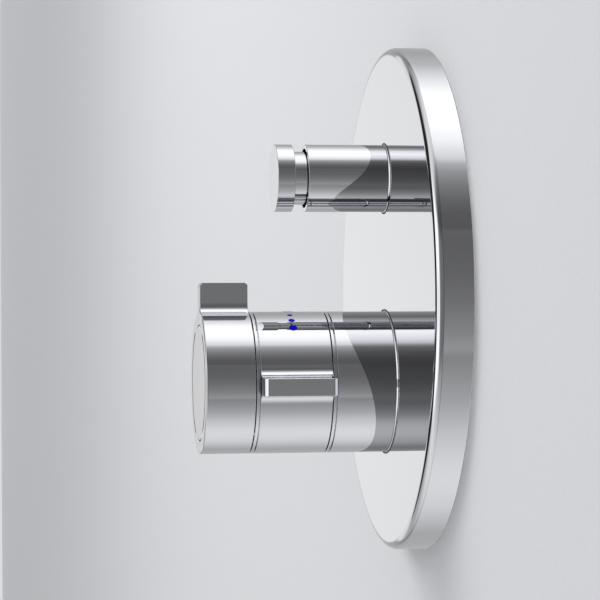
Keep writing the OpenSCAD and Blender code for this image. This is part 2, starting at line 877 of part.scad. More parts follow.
module front_cap() {
    cap_back = temperature_ring_front + cap_t;
    spigot_out_r = screw_room_r - seat;
    color(chrome) at_main() {
        chamfered_tube(cap_r, 0, temperature_ring_front, cap_back, seam_chamfer / 2);
        ring(spigot_out_r, spigot_out_r - cap_spigot_wall, cap_back - seat, cap_back + cap_spigot_len);
    }
}

module handle_screw() {
    head_front = web_front - screw_head_len;
    color(steel) at_main() difference() {
        union() {
            rod(screw_head_r, head_front, web_front);
            rod(screw_r - free, web_front - seat, web_front + screw_len);
        }
        translate([0, head_front - cut, 0]) rotate([-90, 0, 0])
            cylinder(h = screw_socket_depth + cut, r = screw_socket_r, $fn = 6);
    }
}

module temperature_spindle() {
    color(brass) at_main() difference() {
        union() {
            keyed_rod(spindle_key_r, key_flat, spindle_front, spindle_key_back + seat);
            rod(spindle_r, spindle_key_back, spindle_back);
            rod(collar_r, collar_front, collar_back);
        }
        rod(tap_r + seat, spindle_front - cut, spindle_front + tap_len);
        groove(spindle_r, clip_groove_depth, clip_t + 2 * fit, clip_front + clip_t / 2);
        for (y = spindle_seal_ys) groove(spindle_r, small_groove_depth, small_groove_w, y);
    }
}

spindle_seal_ys = [clip_back + spindle_seal_place, clip_back + 2 * spindle_seal_place];

module spindle_clip() {
    groove_r = spindle_r - clip_groove_depth;
    color(steel) at_main() difference() {
        ring(clip_r, groove_r + fit, clip_front, clip_back);
        translate([-spindle_key_r / 2, clip_front - cut, 0])
            cube([spindle_key_r, clip_t + 2 * cut, clip_r + cut]);
    }
}

module spindle_seals() {
    color(rubber) at_main()
        for (y = spindle_seal_ys) o_ring(spindle_r - small_groove_depth + fit, seal_wire_d - fit, y);
}

module flow_tube() {
    color(brass) at_main() difference() {
        union() {
            keyed_rod(tube_r, key_flat, tube_front, flow_hub_back);
            rod(tube_r, flow_hub_back, bell_front + bell_wall_t);
            rod(bell_r, bell_front, bell_back);
            for (side = [0, 180]) rotate([0, side, 0])
                sector(bell_r, lug_in_r, lug_half_angle, bell_back - seat, lug_back);
        }
        rod(spindle_bore_r, tube_front - cut, bell_back + cut);
        rod(bell_bore_r, bell_front + bell_wall_t, bell_back + cut);
        intersection() {
            translate([-bell_r, key_slot_front, -key_slot_w / 2])
                cube([2 * bell_r, bell_len, key_slot_w]);
            rod(nut_key_r + seat, key_slot_front, bell_back + cut);
        }
        for (y = tube_seal_ys) groove(tube_r, small_groove_depth, small_groove_w, y);
    }
}

tube_seal_ys = [bonnet_neck_front + tube_seal_place, bonnet_back - tube_seal_place];

module flow_tube_seals() {
    color(rubber) at_main()
        for (y = tube_seal_ys) o_ring(tube_r - small_groove_depth + fit, seal_wire_d - fit, y);
}

module bonnet() {
    color(brass) at_main() difference() {
        union() {
            rod(bonnet_neck_r, bonnet_neck_front, body_front);
            hex_rod(bonnet_flange_across, body_front - bonnet_flange_t, body_front);
            rod(mouth_r - fit, body_front, bonnet_back);
        }
        rod(tube_r + fit, bonnet_neck_front - cut, bonnet_back + cut);
        ring(bonnet_room_out_r, bonnet_room_in_r, bonnet_neck_front - cut,
            bonnet_neck_front + bonnet_room_depth);
        groove(mouth_r - fit, bonnet_groove_depth, bonnet_groove_w, body_front + bonnet_groove_w);
    }
}

module bonnet_seal() {
    color(rubber) at_main()
        o_ring(mouth_r - bonnet_groove_depth, bonnet_seal_d - 2 * fit, body_front + bonnet_groove_w);
}

// Two opposite openings through a ceramic disc, centred on +Z
module disc_ports(front, back) {
    for (side = [0, 180]) rotate([0, side, 0])
        sector(disc_port_out_r, disc_port_in_r, disc_port_angle / 2, front - cut, back + cut);
}

module rotating_disc() {
    color(ceramic) at_main() difference() {
        ring(rotating_disc_r, disc_in_r, rotating_front, rotating_back);
        rotate([0, 90, 0]) disc_ports(rotating_front, rotating_back);
        for (side = [0, 180]) rotate([0, side, 0])
            sector(bell_r + 2 * seat, disc_in_r - cut, lug_half_angle + lug_play,
                rotating_front - cut, lug_back + free);
    }
}

// Keys inside the housing, or the notches for them in the fixed disc
module disc_keys(gap) {
    key_in_r = fixed_disc_r - disc_notch_depth - gap;
    for (side = [0, 180]) rotate([0, side, 0])
        translate([key_in_r, fixed_front - 2 * gap, -disc_notch_w / 2 - gap])
            cube([housing_r - chamber_gap - key_in_r, disc_t + 4 * gap, disc_notch_w + 2 * gap]);
}

module fixed_disc() {
    color(ceramic) at_main() difference() {
        ring(fixed_disc_r, disc_in_r, fixed_front, fixed_back);
        disc_ports(fixed_front, fixed_back);
        disc_keys(seat);
    }
}

module disc_seal() {
    color(rubber) at_main() ring(fixed_disc_r, shoulder_r + fit, fixed_back, shoulder_y);
}

cartridge_seal_ys = [inlet_y - seal_spacing, inlet_y, inlet_y + seal_spacing];

module cartridge_housing() {
    color(plastic) at_main() {
        difference() {
            rod(housing_r, bonnet_back, housing_back);
            rod(housing_in_r, bonnet_back - cut, shoulder_y);
            rod(shoulder_r, shoulder_y - cut, element_room_front);
            rod(element_room_r, element_room_front - cut, spring_room_back);
            rod(recess_r, cold_seat, shuttle_bore_front);
            rod(shuttle_bore_r, cold_seat, hot_seat);
            rod(recess_r, shuttle_bore_back, hot_seat);
            for (y = [cold_y, hot_y]) {
                groove(housing_r, housing_r - ring_channel_r, ring_channel_w, y);
                for (i = [0:feed_count - 1]) rotate([0, 360 * i / feed_count, 0])
                    translate([0, y, recess_r - seat])
                        cylinder(h = housing_r - recess_r, r = feed_r);
            }
            for (y = cartridge_seal_ys) groove(housing_r, cartridge_groove_depth, cartridge_groove_w, y);
            for (i = [0:window_count - 1]) rotate([0, 360 * i / window_count, 0])
                translate([0, window_y, housing_in_r - cut]) cylinder(h = housing_r, r = window_r);
        }
        intersection() {
            disc_keys(0);
            rod(housing_r - chamber_gap, fixed_front, fixed_back);
        }
    }
}

module cartridge_seals() {
    color(rubber) at_main() for (y = cartridge_seal_ys)
        o_ring(housing_r - cartridge_groove_depth + fit, cartridge_groove_depth + chamber_gap - 2 * fit, y);
}

module temperature_nut() {
    color(brass) at_main() difference() {
        union() {
            rod(nut_r, nut_front, nut_back);
            intersection() {
                translate([-nut_key_r, nut_front, -nut_key_w / 2])
                    cube([2 * nut_key_r, nut_key_len, nut_key_w]);
                rod(nut_key_r, nut_front, nut_back);
            }
        }
        rod(spindle_bore_r, nut_front - cut, nut_cup_front + cut);
        rod(nut_cup_r, nut_cup_front, nut_back + cut);
        rod(nut_cup_r + nut_clip_groove, nut_clip_front - fit, nut_clip_back + fit);
    }
}

module overload_spring() {
    color(steel) at_main() coil_spring(overload_mean_r, overload_wire_r,
        nut_cup_front + seat, plunger_flange_front - seat, overload_turns);
}

module overload_plunger() {
    color(brass) at_main() {
        rod(nut_cup_r - free, plunger_flange_front, plunger_flange_back);
        rod(plunger_r, plunger_flange_front, plunger_back);
    }
}

module nut_clip() {
    color(steel) at_main() difference() {
        ring(nut_cup_r + nut_clip_groove - fit, nut_clip_in_r, nut_clip_front, nut_clip_back);
        translate([-plunger_r, nut_clip_front - cut, 0])
            cube([2 * plunger_r, nut_clip_t + 2 * cut, nut_r]);
    }
}

module wax_element() {
    color(copper) at_main() {
        rod(pin_r, pin_front, guide_front + seat);
        rod(guide_r, guide_front, element_front);
        rod(element_flange_r, element_flange_front, element_front);
        rod(element_r, element_front - seat, element_back);
    }
}

module mixing_shuttle() {
    hub_r = element_r + fit + shuttle_hub_wall;
    shuttle_in_r = shuttle_r - shuttle_wall;
    color(plastic) at_main() difference() {
        union() {
            ring(shuttle_r, shuttle_in_r, shuttle_front, shuttle_back);
            ring(hub_r, element_r + fit, spoke_front, spoke_back);
            for (i = [0:spoke_count - 1]) rotate([0, 360 * i / spoke_count, 0])
                translate([hub_r - seat, spoke_front, -spoke_w / 2])
                    cube([shuttle_in_r - hub_r + 2 * seat, spoke_len, spoke_w]);
        }
        groove(shuttle_r, shuttle_groove_depth, shuttle_groove_w, inlet_y);
    }
}

module shuttle_seal() {
    color(rubber) at_main()
        o_ring(shuttle_r - shuttle_groove_depth + fit, shuttle_seal_d - fit, inlet_y);
}

module return_spring() {
    color(steel) at_main() coil_spring(return_mean_r, return_wire_r,
        spoke_back + seat, spring_room_back - seat, return_turns);
}

// Pipe branch along +X, from the axis to its mouth, with a hexagon end
module branch(y, reach) {
    translate([0, y, 0]) rotate([0, 90, 0]) {
        cylinder(h = reach, r = branch_r);
        translate([0, 0, reach - port_hex_len]) cylinder(h = port_hex_len, r = port_hex_r, $fn = 6);
    }
}

module bar_x(r, y, from, to) {
    translate([from, y, 0]) rotate([0, 90, 0]) cylinder(h = to - from, r = r);
}

// Bores of one inlet: passage, check valve, strainer and pipe thread
module inlet_bores(y) {
    bar_x(feed_passage_r, y, housing_r - cut, check_in + cut);
    bar_x(check_bore_r, inlet_y, check_in, port_back);
    bar_x(strainer_seat_r, inlet_y, strainer_seat_x, port_back);
    bar_x(port_r, inlet_y, port_back, inlet_reach + cut);
}

module body_outside() {
    at_main() {
        rod(body_r, body_front, body_back);
        branch(inlet_y, inlet_reach);
        mirror([1, 0, 0]) branch(inlet_y, inlet_reach);
    }
    at_diverter() {
        rod(diverter_body_r, diverter_body_front, diverter_body_back);
        branch(side_y, side_reach);
        rotate([0, -90, 0]) branch(top_y, top_reach);
    }
    translate([-column_w / 2, riser_y - column_t / 2, main_z])
        cube([column_w, column_t, diverter_z - main_z]);
}

module body_inside() {
    at_main() {
        rod(mouth_r, body_front - cut, bonnet_back);
        rod(chamber_r, bonnet_back - cut, chamber_back);
        rod(mixed_recess_r, mixed_recess_front, mixed_recess_front + mixed_recess_len);
        inlet_bores(cold_y);
        mirror([1, 0, 0]) inlet_bores(hot_y);
        body_screw_places() rod(body_screw_r, body_back - body_screw_depth, body_back + cut);
    }
    at_diverter() {
        rod(diverter_mouth_r, diverter_body_front - cut, cage_front);
        rod(cage_bore_r, cage_front - cut, diverter_room_back);
        bar_x(passage_r, side_y, 0, side_reach);
        bar_x(port_r, side_y, side_reach - port_len, side_reach + cut);
        rotate([0, -90, 0]) {
            bar_x(passage_r, top_y, 0, top_reach);
            bar_x(port_r, top_y, top_reach - port_len, top_reach + cut);
        }
    }
    translate([0, riser_y, main_z + chamber_r])
        cylinder(h = diverter_z - main_z - chamber_r, r = passage_r);
}

module valve_body() {
    color(brass) difference() {
        body_outside();
        body_inside();
    }
}

// Steel plate behind the body, with rounded corners
module mounting_bracket() {
    inner_w = bracket_w - 2 * bracket_corner_r;
    inner_h = bracket_h - 2 * bracket_corner_r;
    color(steel) at_main() difference() {
        translate([0, bracket_back, 0]) rotate([90, 0, 0]) linear_extrude(height = bracket_t) {
            square([bracket_w, inner_h], center = true);
            square([inner_w, bracket_h], center = true);
            for (x = [-1, 1], z = [-1, 1])
                translate([x * inner_w / 2, z * inner_h / 2]) circle(r = bracket_corner_r);
        }
        for (x = [-1, 1], z = [-1, 1])
            translate([x * wall_hole_x, 0, z * wall_hole_z])
                rod(wall_hole_r, body_back - cut, bracket_back + cut);
        body_screw_places() {
            rod(body_screw_r + seat, body_back - cut, bracket_back + cut);
            rod(body_screw_head_r + seat, bracket_back - body_screw_head_len, bracket_back + cut);
        }
    }
}

module body_screw_places() {
    for (i = [0:3]) rotate([0, 45 + 90 * i, 0]) translate([0, 0, body_screw_circle_r]) children();
}

module bracket_screws() {
    color(steel) at_main() body_screw_places() difference() {
        union() {
            rod(body_screw_r - fit, body_back - body_screw_depth + free, bracket_back);
            rod(body_screw_head_r, bracket_back - body_screw_head_len, bracket_back - seat);
        }
        translate([0, bracket_back - 1.2 * seat - screw_socket_depth / 2, 0]) rotate([-90, 0, 0])
            cylinder(h = screw_socket_depth, r = screw_socket_r, $fn = 6);
    }
}

// Turns pieces made along +Y so that they lie along an inlet, towards +X
module in_inlet() {
    translate([0, inlet_y, 0]) rotate([0, 0, -90]) children();
}

// Check valve: a cage with a seat at its outer end and a guide for the poppet
module check_cage() {
    room_r = check_r - check_wall;
    in_inlet() difference() {
        union() {
            ring(check_r, room_r, check_inner, check_seat_x);
            ring(check_r, check_seat_r, check_seat_x, check_outer);
            rod(spider_hub_r, spider_x, spider_x + spider_t);
            for (a = [0, 60, 120]) rotate([0, a, 0])
                translate([-room_r - seat, spider_x, -spider_arm_w / 2])
                    cube([2 * (room_r + seat), spider_t, spider_arm_w]);
        }
        rod(poppet_stem_r + fit, spider_x - cut, spider_x + spider_t + cut);
    }
}

module check_poppet() {
    in_inlet() {
        rod(poppet_r, poppet_head_x, poppet_head_x + poppet_t);
        rod(poppet_stem_r, poppet_stem_x, poppet_head_x + seat);
    }
}

module check_spring() {
    in_inlet() coil_spring(check_spring_mean_r, check_spring_wire_r,
        spider_x + spider_t + seat, poppet_head_x - seat, check_spring_turns);
}

// Strainer: a rim and a basket with rows of holes
module strainer() {
    in_inlet() difference() {
        union() {
            rod(strainer_rim_r, port_back - strainer_rim_t, port_back);
            rod(strainer_basket_r, basket_end, port_back - seat);
        }
        rod(strainer_basket_r - strainer_wall, basket_end + strainer_wall, port_back + cut);
        for (row = [0:strainer_rows - 1], i = [0:strainer_holes - 1])
            rotate([0, 360 * (i + row / 2) / strainer_holes, 0])
                translate([0, basket_end + strainer_len * (row + 1) / (strainer_rows + 1),
                    strainer_basket_r - strainer_wall - cut])
                    cylinder(h = strainer_wall + 2 * cut, r = strainer_hole_r, $fn = 24);
    }
}

module on_cold_side() {
    at_main() children();
}

module on_hot_side() {
    at_main() mirror([1, 0, 0]) children();
}

module hot_check_cage() {
    color(plastic) on_hot_side() check_cage();
}

module cold_check_cage() {
    color(plastic) on_cold_side() check_cage();
}

module hot_check_poppet() {
    color(ceramic) on_hot_side() check_poppet();
}

module cold_check_poppet() {
    color(ceramic) on_cold_side() check_poppet();
}

module hot_check_spring() {
    color(steel) on_hot_side() check_spring();
}

module cold_check_spring() {
    color(steel) on_cold_side() check_spring();
}

module hot_strainer() {
    color(steel) on_hot_side() strainer();
}

module cold_strainer() {
    color(steel) on_cold_side() strainer();
}

module diverter_sleeve() {
    color(chrome) at_diverter()
        chamfered_tube(small_r, small_in_r, diverter_sleeve_front, base_ring_front, seam_chamfer);
}

// Bonnet of the diverter, with the long neck that carries the sleeve and guides the knob
diverter_grips = [plate_grip_y, base_ring_front - diverter_grip_place];
neck_groove_r = small_in_r - fit - neck_seal_d;

module diverter_bonnet() {
    color(brass) at_diverter() difference() {
        union() {
            rod(guide_neck_r, guide_neck_front, diverter_neck_front + cut);
            rod(diverter_neck_r, diverter_neck_front, diverter_neck_back + cut);
            hex_rod(diverter_flange_across, diverter_neck_back, diverter_body_front);
            rod(diverter_mouth_r - fit, diverter_body_front - cut, cage_front);
        }
        rod(stem_r + fit, guide_neck_front - cut, cage_front + cut);
        for (y = diverter_grips)
            groove(diverter_neck_r, diverter_neck_r - neck_groove_r + fit, neck_groove_w, y);
    }
}

module diverter_neck_seals() {
    color(rubber) at_diverter() for (y = diverter_grips) o_ring(neck_groove_r, neck_seal_d, y);
}

module diverter_cage() {
    color(plastic) at_diverter() difference() {
        rod(cage_r, cage_front, cage_back);
        rod(cage_in_r, cage_front - cut, rear_seat_front);
        rod(valve_seat_r, rear_seat_front - cut, rear_seat_back + cut);
        rod(cage_in_r, rear_seat_back, cage_back + cut);
        for (y = [side_y, cage_mid_y, top_y]) {
            groove(cage_r, cage_r - cage_channel_r, cage_channel_w, y);
            for (i = [0:cage_windows - 1]) rotate([0, 360 * i / cage_windows, 0])
                translate([0, y, cage_in_r - cut]) cylinder(h = cage_r, r = cage_window_r);
        }
        for (y = [front_cage_seal_y, rear_cage_seal_y])
            groove(cage_r, cage_groove_depth, cage_groove_w, y);
    }
}

module diverter_cage_seals() {
    color(rubber) at_diverter() for (y = [front_cage_seal_y, rear_cage_seal_y])
        o_ring(cage_r - cage_groove_depth + fit, cage_groove_depth - fit, y);
}

module diverter_seat() {
    color(brass) at_diverter() ring(cage_in_r - fit, valve_seat_r, front_seat_front, front_seat_back);
}

module diverter_knob() {
    color(chrome) at_diverter() difference() {
        union() {
            turned() {
                translate([0, head_front]) square([small_r - head_edge_r, head_len]);
                translate([0, head_front + head_edge_r]) square([small_r, head_len - 2 * head_edge_r]);
                for (y = [head_front + head_edge_r, head_back - head_edge_r])
                    translate([small_r - head_edge_r, y]) circle(r = head_edge_r, $fn = 24);
            }
            rod(neck_r, head_back - cut, skirt_back);
        }
        rod(skirt_in_r, skirt_floor, skirt_back + cut);
        rod(stem_thread_r + fit, stem_front - free, skirt_floor + cut);
    }
}

stem_seal_y = diverter_body_front + diverter_thread_len / 2;

module diverter_stem() {
    color(steel) at_diverter() difference() {
        union() {
            rod(stem_thread_r, stem_front, stem_shoulder + cut);
            rod(stem_r, stem_shoulder, stem_step);
            rod(stem_tail_r, stem_step - cut, spool_nut_back);
        }
        groove(stem_r, stem_groove_depth, stem_groove_w, stem_seal_y);
    }
}

module stem_seal() {
    color(rubber) at_diverter()
        o_ring(stem_r - stem_groove_depth + fit, stem_seal_d - fit, stem_seal_y);
}

module spool_nut() {
    color(steel) at_diverter() difference() {
        hex_rod(spool_nut_across, spool_back, spool_nut_back);
        rod(stem_tail_r + fit, spool_back - cut, spool_nut_back + cut);
    }
}

// Double-faced valve disc between the two seats
module diverter_spool() {
    color(brass) at_diverter() difference() {
        union() {
            rod(spool_core_r, spool_front, spool_back);
            for (y = [spool_front + spool_seal_t, spool_back - spool_seal_t - spool_flange_t])
                rod(spool_flange_r, y, y + spool_flange_t);
        }
        rod(stem_tail_r + fit, spool_front - cut, spool_back + cut);
    }
}

module spool_seals() {
    color(rubber) at_diverter() {
        ring(spool_seal_r, spool_core_r + fit, spool_front, spool_front + spool_seal_t);
        ring(spool_seal_r, spool_core_r + fit, spool_back - spool_seal_t, spool_back);
    }
}

escutcheon();
escutcheon_seal();
main_base_ring();
diverter_base_ring();
rear_sleeve();
rear_spacer();
carrier_tube();
carrier_seals();
bonnet();
bonnet_seal();
fixed_disc();
disc_seal();
cartridge_housing();
cartridge_seals();
return_spring();
valve_body();
mounting_bracket();
bracket_screws();
hot_check_cage();
cold_check_cage();
hot_check_spring();
cold_check_spring();
hot_strainer();
cold_strainer();
diverter_sleeve();
diverter_bonnet();
diverter_neck_seals();
diverter_cage();
diverter_cage_seals();
diverter_seat();
flow_ring();
front_spacer();
stop_ring();
flow_set_screw();
flow_tube();
flow_tube_seals();
rotating_disc();
temperature_ring();
front_cap();
handle_screw();
temperature_spindle();
spindle_clip();
spindle_seals();
temperature_nut();
overload_spring();
overload_plunger();
nut_clip();
wax_element();
mixing_shuttle();
shuttle_seal();
diverter_knob();
diverter_stem();
stem_seal();
diverter_spool();
spool_seals();
spool_nut();
hot_check_poppet();
cold_check_poppet();
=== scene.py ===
# %% [markdown]
# # A thermostatic shower valve in polished chrome
#
# The valve is built into a wall. What shows is a round cover plate with a large double control
# below and a small push knob above. Everything behind the plate sits in the wall. The packed
# CAD model already has each piece at its real size and place, so this lesson only dresses it:
# it builds the chrome pieces with smooth curves and softened edges, gives every piece its
# finish, and sets up a small studio whose reflections make the chrome look like chrome.

import json
import math

import bmesh
import bpy
from mathutils import Matrix, Vector


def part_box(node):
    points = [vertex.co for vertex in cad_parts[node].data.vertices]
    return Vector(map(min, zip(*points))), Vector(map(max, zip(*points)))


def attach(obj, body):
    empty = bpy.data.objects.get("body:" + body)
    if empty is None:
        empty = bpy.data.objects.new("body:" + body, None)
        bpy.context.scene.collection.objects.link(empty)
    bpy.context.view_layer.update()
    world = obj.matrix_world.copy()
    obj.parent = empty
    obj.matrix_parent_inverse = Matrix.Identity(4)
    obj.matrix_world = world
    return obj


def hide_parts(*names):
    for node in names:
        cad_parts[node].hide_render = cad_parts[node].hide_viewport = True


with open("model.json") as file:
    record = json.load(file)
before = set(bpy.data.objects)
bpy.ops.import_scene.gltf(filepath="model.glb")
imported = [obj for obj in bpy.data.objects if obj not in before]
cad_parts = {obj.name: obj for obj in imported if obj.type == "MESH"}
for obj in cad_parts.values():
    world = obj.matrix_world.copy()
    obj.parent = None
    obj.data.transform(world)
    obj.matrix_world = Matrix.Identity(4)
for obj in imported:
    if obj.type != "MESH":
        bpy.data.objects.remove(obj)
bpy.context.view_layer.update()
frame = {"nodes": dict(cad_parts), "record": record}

# %% [markdown]
# Lengths are easiest to read in millimetres, and Blender works in metres. One value turns the
# first into the second. The places of the two controls come from the frame: each sleeve's box
# gives its axis, its radius and where it starts and ends along the Y axis. The front of the
# valve faces -Y, the top faces +Z, and the user's right is +X. Four digits after the point of a
# metre are tenths of a millimetre.

# %% Read sizes from the frame
MM = 0.001
METRE_DIGITS = 4


def depths(node):
    """Front and back of a node along Y, to a tenth of a millimetre."""
    low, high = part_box(node)
    return round(low.y, METRE_DIGITS), round(high.y, METRE_DIGITS)


def radius(node):
    """Radius of a round node, from its width."""
    low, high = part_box(node)
    return round((high.x - low.x) / 2, METRE_DIGITS)


def axis_height(node):
    """Height of a round node's axis."""
    low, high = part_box(node)
    return round((low.z + high.z) / 2, METRE_DIGITS)


LARGE_Z = axis_height("rear_sleeve")
SMALL_Z = axis_height("diverter_sleeve")
LARGE_R = radius("rear_sleeve")
SMALL_R = radius("diverter_sleeve")
PLATE_R = radius("escutcheon")
PLATE_FRONT, PLATE_BACK = depths("escutcheon")
print("axes at", LARGE_Z, SMALL_Z, "radii", LARGE_R, SMALL_R, PLATE_R)

# %% [markdown]
# Materials are node trees. One small function adds a node, sets its options and links or fills
# its inputs, so that each material reads as a short list. Colours are written as the sRGB hex
# values that a paint chart would give, and one function turns them into Blender's linear light.


# %% Node and colour helpers
def linear(hex_colour):
    """Linear RGBA from an sRGB hex colour such as 'c8cacd'."""
    shares = [int(hex_colour[i:i + 2], 16) / 255 for i in (0, 2, 4)]
    return [s / 12.92 if s <= 0.04045 else ((s + 0.055) / 1.055) ** 2.4 for s in shares] + [1.0]


def add_node(tree, kind, options=None, **inputs):
    """Adds a node; inputs are values or the output sockets to link."""
    node = tree.nodes.new(kind)
    for name, value in (options or {}).items():
        setattr(node, name, value)
    for name, value in inputs.items():
        key = int(name[1:]) if name[0] == "_" and name[1:].isdigit() else name.replace("_", " ")
        if isinstance(value, bpy.types.NodeSocket):
            tree.links.new(value, node.inputs[key])
        else:
            node.inputs[key].default_value = value
    return node


def new_material(name):
    """An empty material with its tree and its output node."""
    material = bpy.data.materials.new(name)
    material.use_nodes = True
    tree = material.node_tree
    tree.nodes.clear()
    return material, tree, tree.nodes.new("ShaderNodeOutputMaterial")


# %% [markdown]
# Surfaces get their life from noise. It is tied to the object's own coordinates, so it moves
# with the piece, and its features have a real size. A ramp turns a value into a tone.


# %% Texture helpers
def object_noise(tree, size_mm, detail=3.0):
    """Noise on the object's own coordinates, with features of a real size."""
    place = add_node(tree, "ShaderNodeTexCoord")
    return add_node(tree, "ShaderNodeTexNoise", Vector=place.outputs["Object"],
                    Scale=1 / (size_mm * MM), Detail=detail)


def ramp(tree, value, stops):
    """Colour ramp with (place, grey or colour) stops."""
    node = add_node(tree, "ShaderNodeValToRGB", _0=value)
    marks = node.color_ramp.elements
    while len(marks) < len(stops):
        marks.new(0.5)
    for mark, (place, shade) in zip(marks, stops):
        mark.position = place
        mark.color = shade if hasattr(shade, "__len__") else (shade, shade, shade, 1)
    return node


# %% [markdown]
# ## Finishes
#
# Polished chrome plate is a thin layer of chromium over nickel on brass. It reflects about two
# thirds of the light, a little more of the blue, and its surface is so smooth that it mirrors
# the room. What tells the eye that it isn't a perfect mirror is a faint haze that varies from
# place to place, so a broad noise moves the roughness by a few thousandths.


# %% Chrome
def make_chrome():
    """Polished chrome plate for everything that the user sees and touches."""
    material, tree, output = new_material("polished_chrome_plate")
    haze = object_noise(tree, size_mm=18)
    rough = add_node(tree, "ShaderNodeMapRange", Value=haze.outputs["Fac"], To_Min=0.008, To_Max=0.02)
    skin = object_noise(tree, size_mm=5, detail=1)
    bump = add_node(tree, "ShaderNodeBump", Height=skin.outputs["Fac"], Strength=0.01, Distance=0.02 * MM)
    shader = add_node(tree, "ShaderNodeBsdfPrincipled", Base_Color=linear("cbccd0"), Metallic=1.0,
                      Roughness=rough.outputs["Result"], Normal=bump.outputs["Normal"])
    tree.links.new(shader.outputs["BSDF"], output.inputs["Surface"])
    return material


CHROME = make_chrome()

# %% [markdown]
# The pieces in the wall are brass. The body is sand cast, so its skin is rough and dull; its
# machined ends are bright in truth, but here the whole body gets the cast skin. The turned pieces
# have fine rings from the lathe tool, which lie square to the axis: a wave along Y at the tool's
# feed gives them.


# %% Brass, copper and steel
def make_cast_brass():
    """Sand-cast brass, blotched and grainy."""
    material, tree, output = new_material("sand_cast_brass")
    grain = object_noise(tree, size_mm=0.9, detail=6)
    blotch = object_noise(tree, size_mm=14, detail=4)
    tone = ramp(tree, blotch.outputs["Fac"], [(0.35, linear("a98c55")), (0.65, linear("c4a768"))])
    rough = add_node(tree, "ShaderNodeMapRange", Value=grain.outputs["Fac"], To_Min=0.38, To_Max=0.62)
    bump = add_node(tree, "ShaderNodeBump", Height=grain.outputs["Fac"], Strength=0.45, Distance=0.12 * MM)
    shader = add_node(tree, "ShaderNodeBsdfPrincipled", Base_Color=tone.outputs["Color"], Metallic=1.0,
                      Roughness=rough.outputs["Result"], Normal=bump.outputs["Normal"])
    tree.links.new(shader.outputs["BSDF"], output.inputs["Surface"])
    return material


def make_turned_metal(name, colour, feed_mm=0.25, roughness=0.24):
    """Metal turned on a lathe along the Y axis."""
    material, tree, output = new_material(name)
    place = add_node(tree, "ShaderNodeTexCoord")
    rings = add_node(tree, "ShaderNodeTexWave", {"bands_direction": "Y"}, Vector=place.outputs["Object"],
                     Scale=2 * math.pi / (feed_mm * MM) / 20, Distortion=0.4)
    dull = object_noise(tree, size_mm=6)
    rough = add_node(tree, "ShaderNodeMapRange", Value=dull.outputs["Fac"],
                     To_Min=roughness - 0.05, To_Max=roughness + 0.08)
    bump = add_node(tree, "ShaderNodeBump", Height=rings.outputs["Fac"], Strength=0.12, Distance=0.02 * MM)
    shader = add_node(tree, "ShaderNodeBsdfPrincipled", Base_Color=linear(colour), Metallic=1.0,
                      Roughness=rough.outputs["Result"], Normal=bump.outputs["Normal"])
    tree.links.new(shader.outputs["BSDF"], output.inputs["Surface"])
    return material


CAST_BRASS = make_cast_brass()
TURNED_BRASS = make_turned_metal("turned_brass", "cfae6a")
COPPER = make_turned_metal("drawn_copper", "c98a63", roughness=0.3)
STEEL = make_turned_metal("stainless_steel", "b9babc", roughness=0.28)

# %% [markdown]
# Rubber and plastic don't mirror the room, they only shine a little. The O-rings are moulded
# nitrile rubber with a smooth, slightly oily skin. The seal behind the plate is a foam with
# small closed cells, and the inner plastic pieces are glass-filled and dull. The valve discs
# are lapped alumina, white and nearly polished.


# %% Rubber, foam, plastic and ceramic
def make_dielectric(name, colour, roughness, grain_mm, grain_depth_mm, spread=0.08, ior=1.5, shine=0.5):
    """Non-metal with a fine grain in its skin; shine 0.5 is the strength that its IOR gives."""
    material, tree, output = new_material(name)
    grain = object_noise(tree, size_mm=grain_mm, detail=4)
    rough = add_node(tree, "ShaderNodeMapRange", Value=grain.outputs["Fac"],
                     To_Min=roughness - spread, To_Max=roughness + spread)
    bump = add_node(tree, "ShaderNodeBump", Height=grain.outputs["Fac"], Strength=0.3,
                    Distance=grain_depth_mm * MM)
    light, dark = linear(colour), [share * 0.8 for share in linear(colour)[:3]] + [1.0]
    tone = ramp(tree, grain.outputs["Fac"], [(0.3, dark), (0.7, light)])
    shader = add_node(tree, "ShaderNodeBsdfPrincipled", Base_Color=tone.outputs["Color"], IOR=ior,
                      Specular_IOR_Level=shine, Roughness=rough.outputs["Result"],
                      Normal=bump.outputs["Normal"])
    tree.links.new(shader.outputs["BSDF"], output.inputs["Surface"])
    return material


RUBBER = make_dielectric("nitrile_rubber", "17181a", roughness=0.26, grain_mm=1.5, grain_depth_mm=0.01)
# The lip rubber is matt and nearly black: a rubber seal whose black also paints the shade of the gap at each
# sleeve's foot.
GAP_SHADE_RUBBER = make_dielectric("black_lip_rubber_and_gap_shade", "0d0e10", roughness=0.8, grain_mm=0.5, grain_depth_mm=0.004,
                             shine=0.05)
FOAM = make_dielectric("closed_cell_foam", "34353a", roughness=0.85, grain_mm=0.7, grain_depth_mm=0.3)
PLASTIC = make_dielectric("glass_filled_nylon", "2b2c30", roughness=0.5, grain_mm=1.0, grain_depth_mm=0.03)
ALUMINA = make_dielectric("lapped_alumina", "ece9e0", roughness=0.2, grain_mm=2.0, grain_depth_mm=0.002,
                          ior=1.77)
INK_SKIN = {"roughness": 0.5, "grain_mm": 0.5, "grain_depth_mm": 0.004, "shine": 0.08}
BLUE_INK = make_dielectric("blue_pad_print", "0404d0", **INK_SKIN)
RED_INK = make_dielectric("red_pad_print", "c8141c", **INK_SKIN)
GREY_INK = make_dielectric("dark_pad_print", "2b2d33", **INK_SKIN)
print("finishes:", len(bpy.data.materials))

# %% [markdown]
# ## Building turned pieces
#
# Most of the trim is turned on a lathe, and Blender's spin works like one. The outline of one
# side is drawn with a few vertices, its corners are rounded with a vertex bevel, and the spin
# carries it once round the axis. Where two faces meet at more than 20 degrees the shading keeps
# a sharp edge, and a weighted-normal modifier keeps flat faces flat to the eye, which matters on
# a mirror finish.

# %% Turning helpers
TURN_STEPS = 256
SHARP = math.radians(20)
MERGE = 0.002 * MM


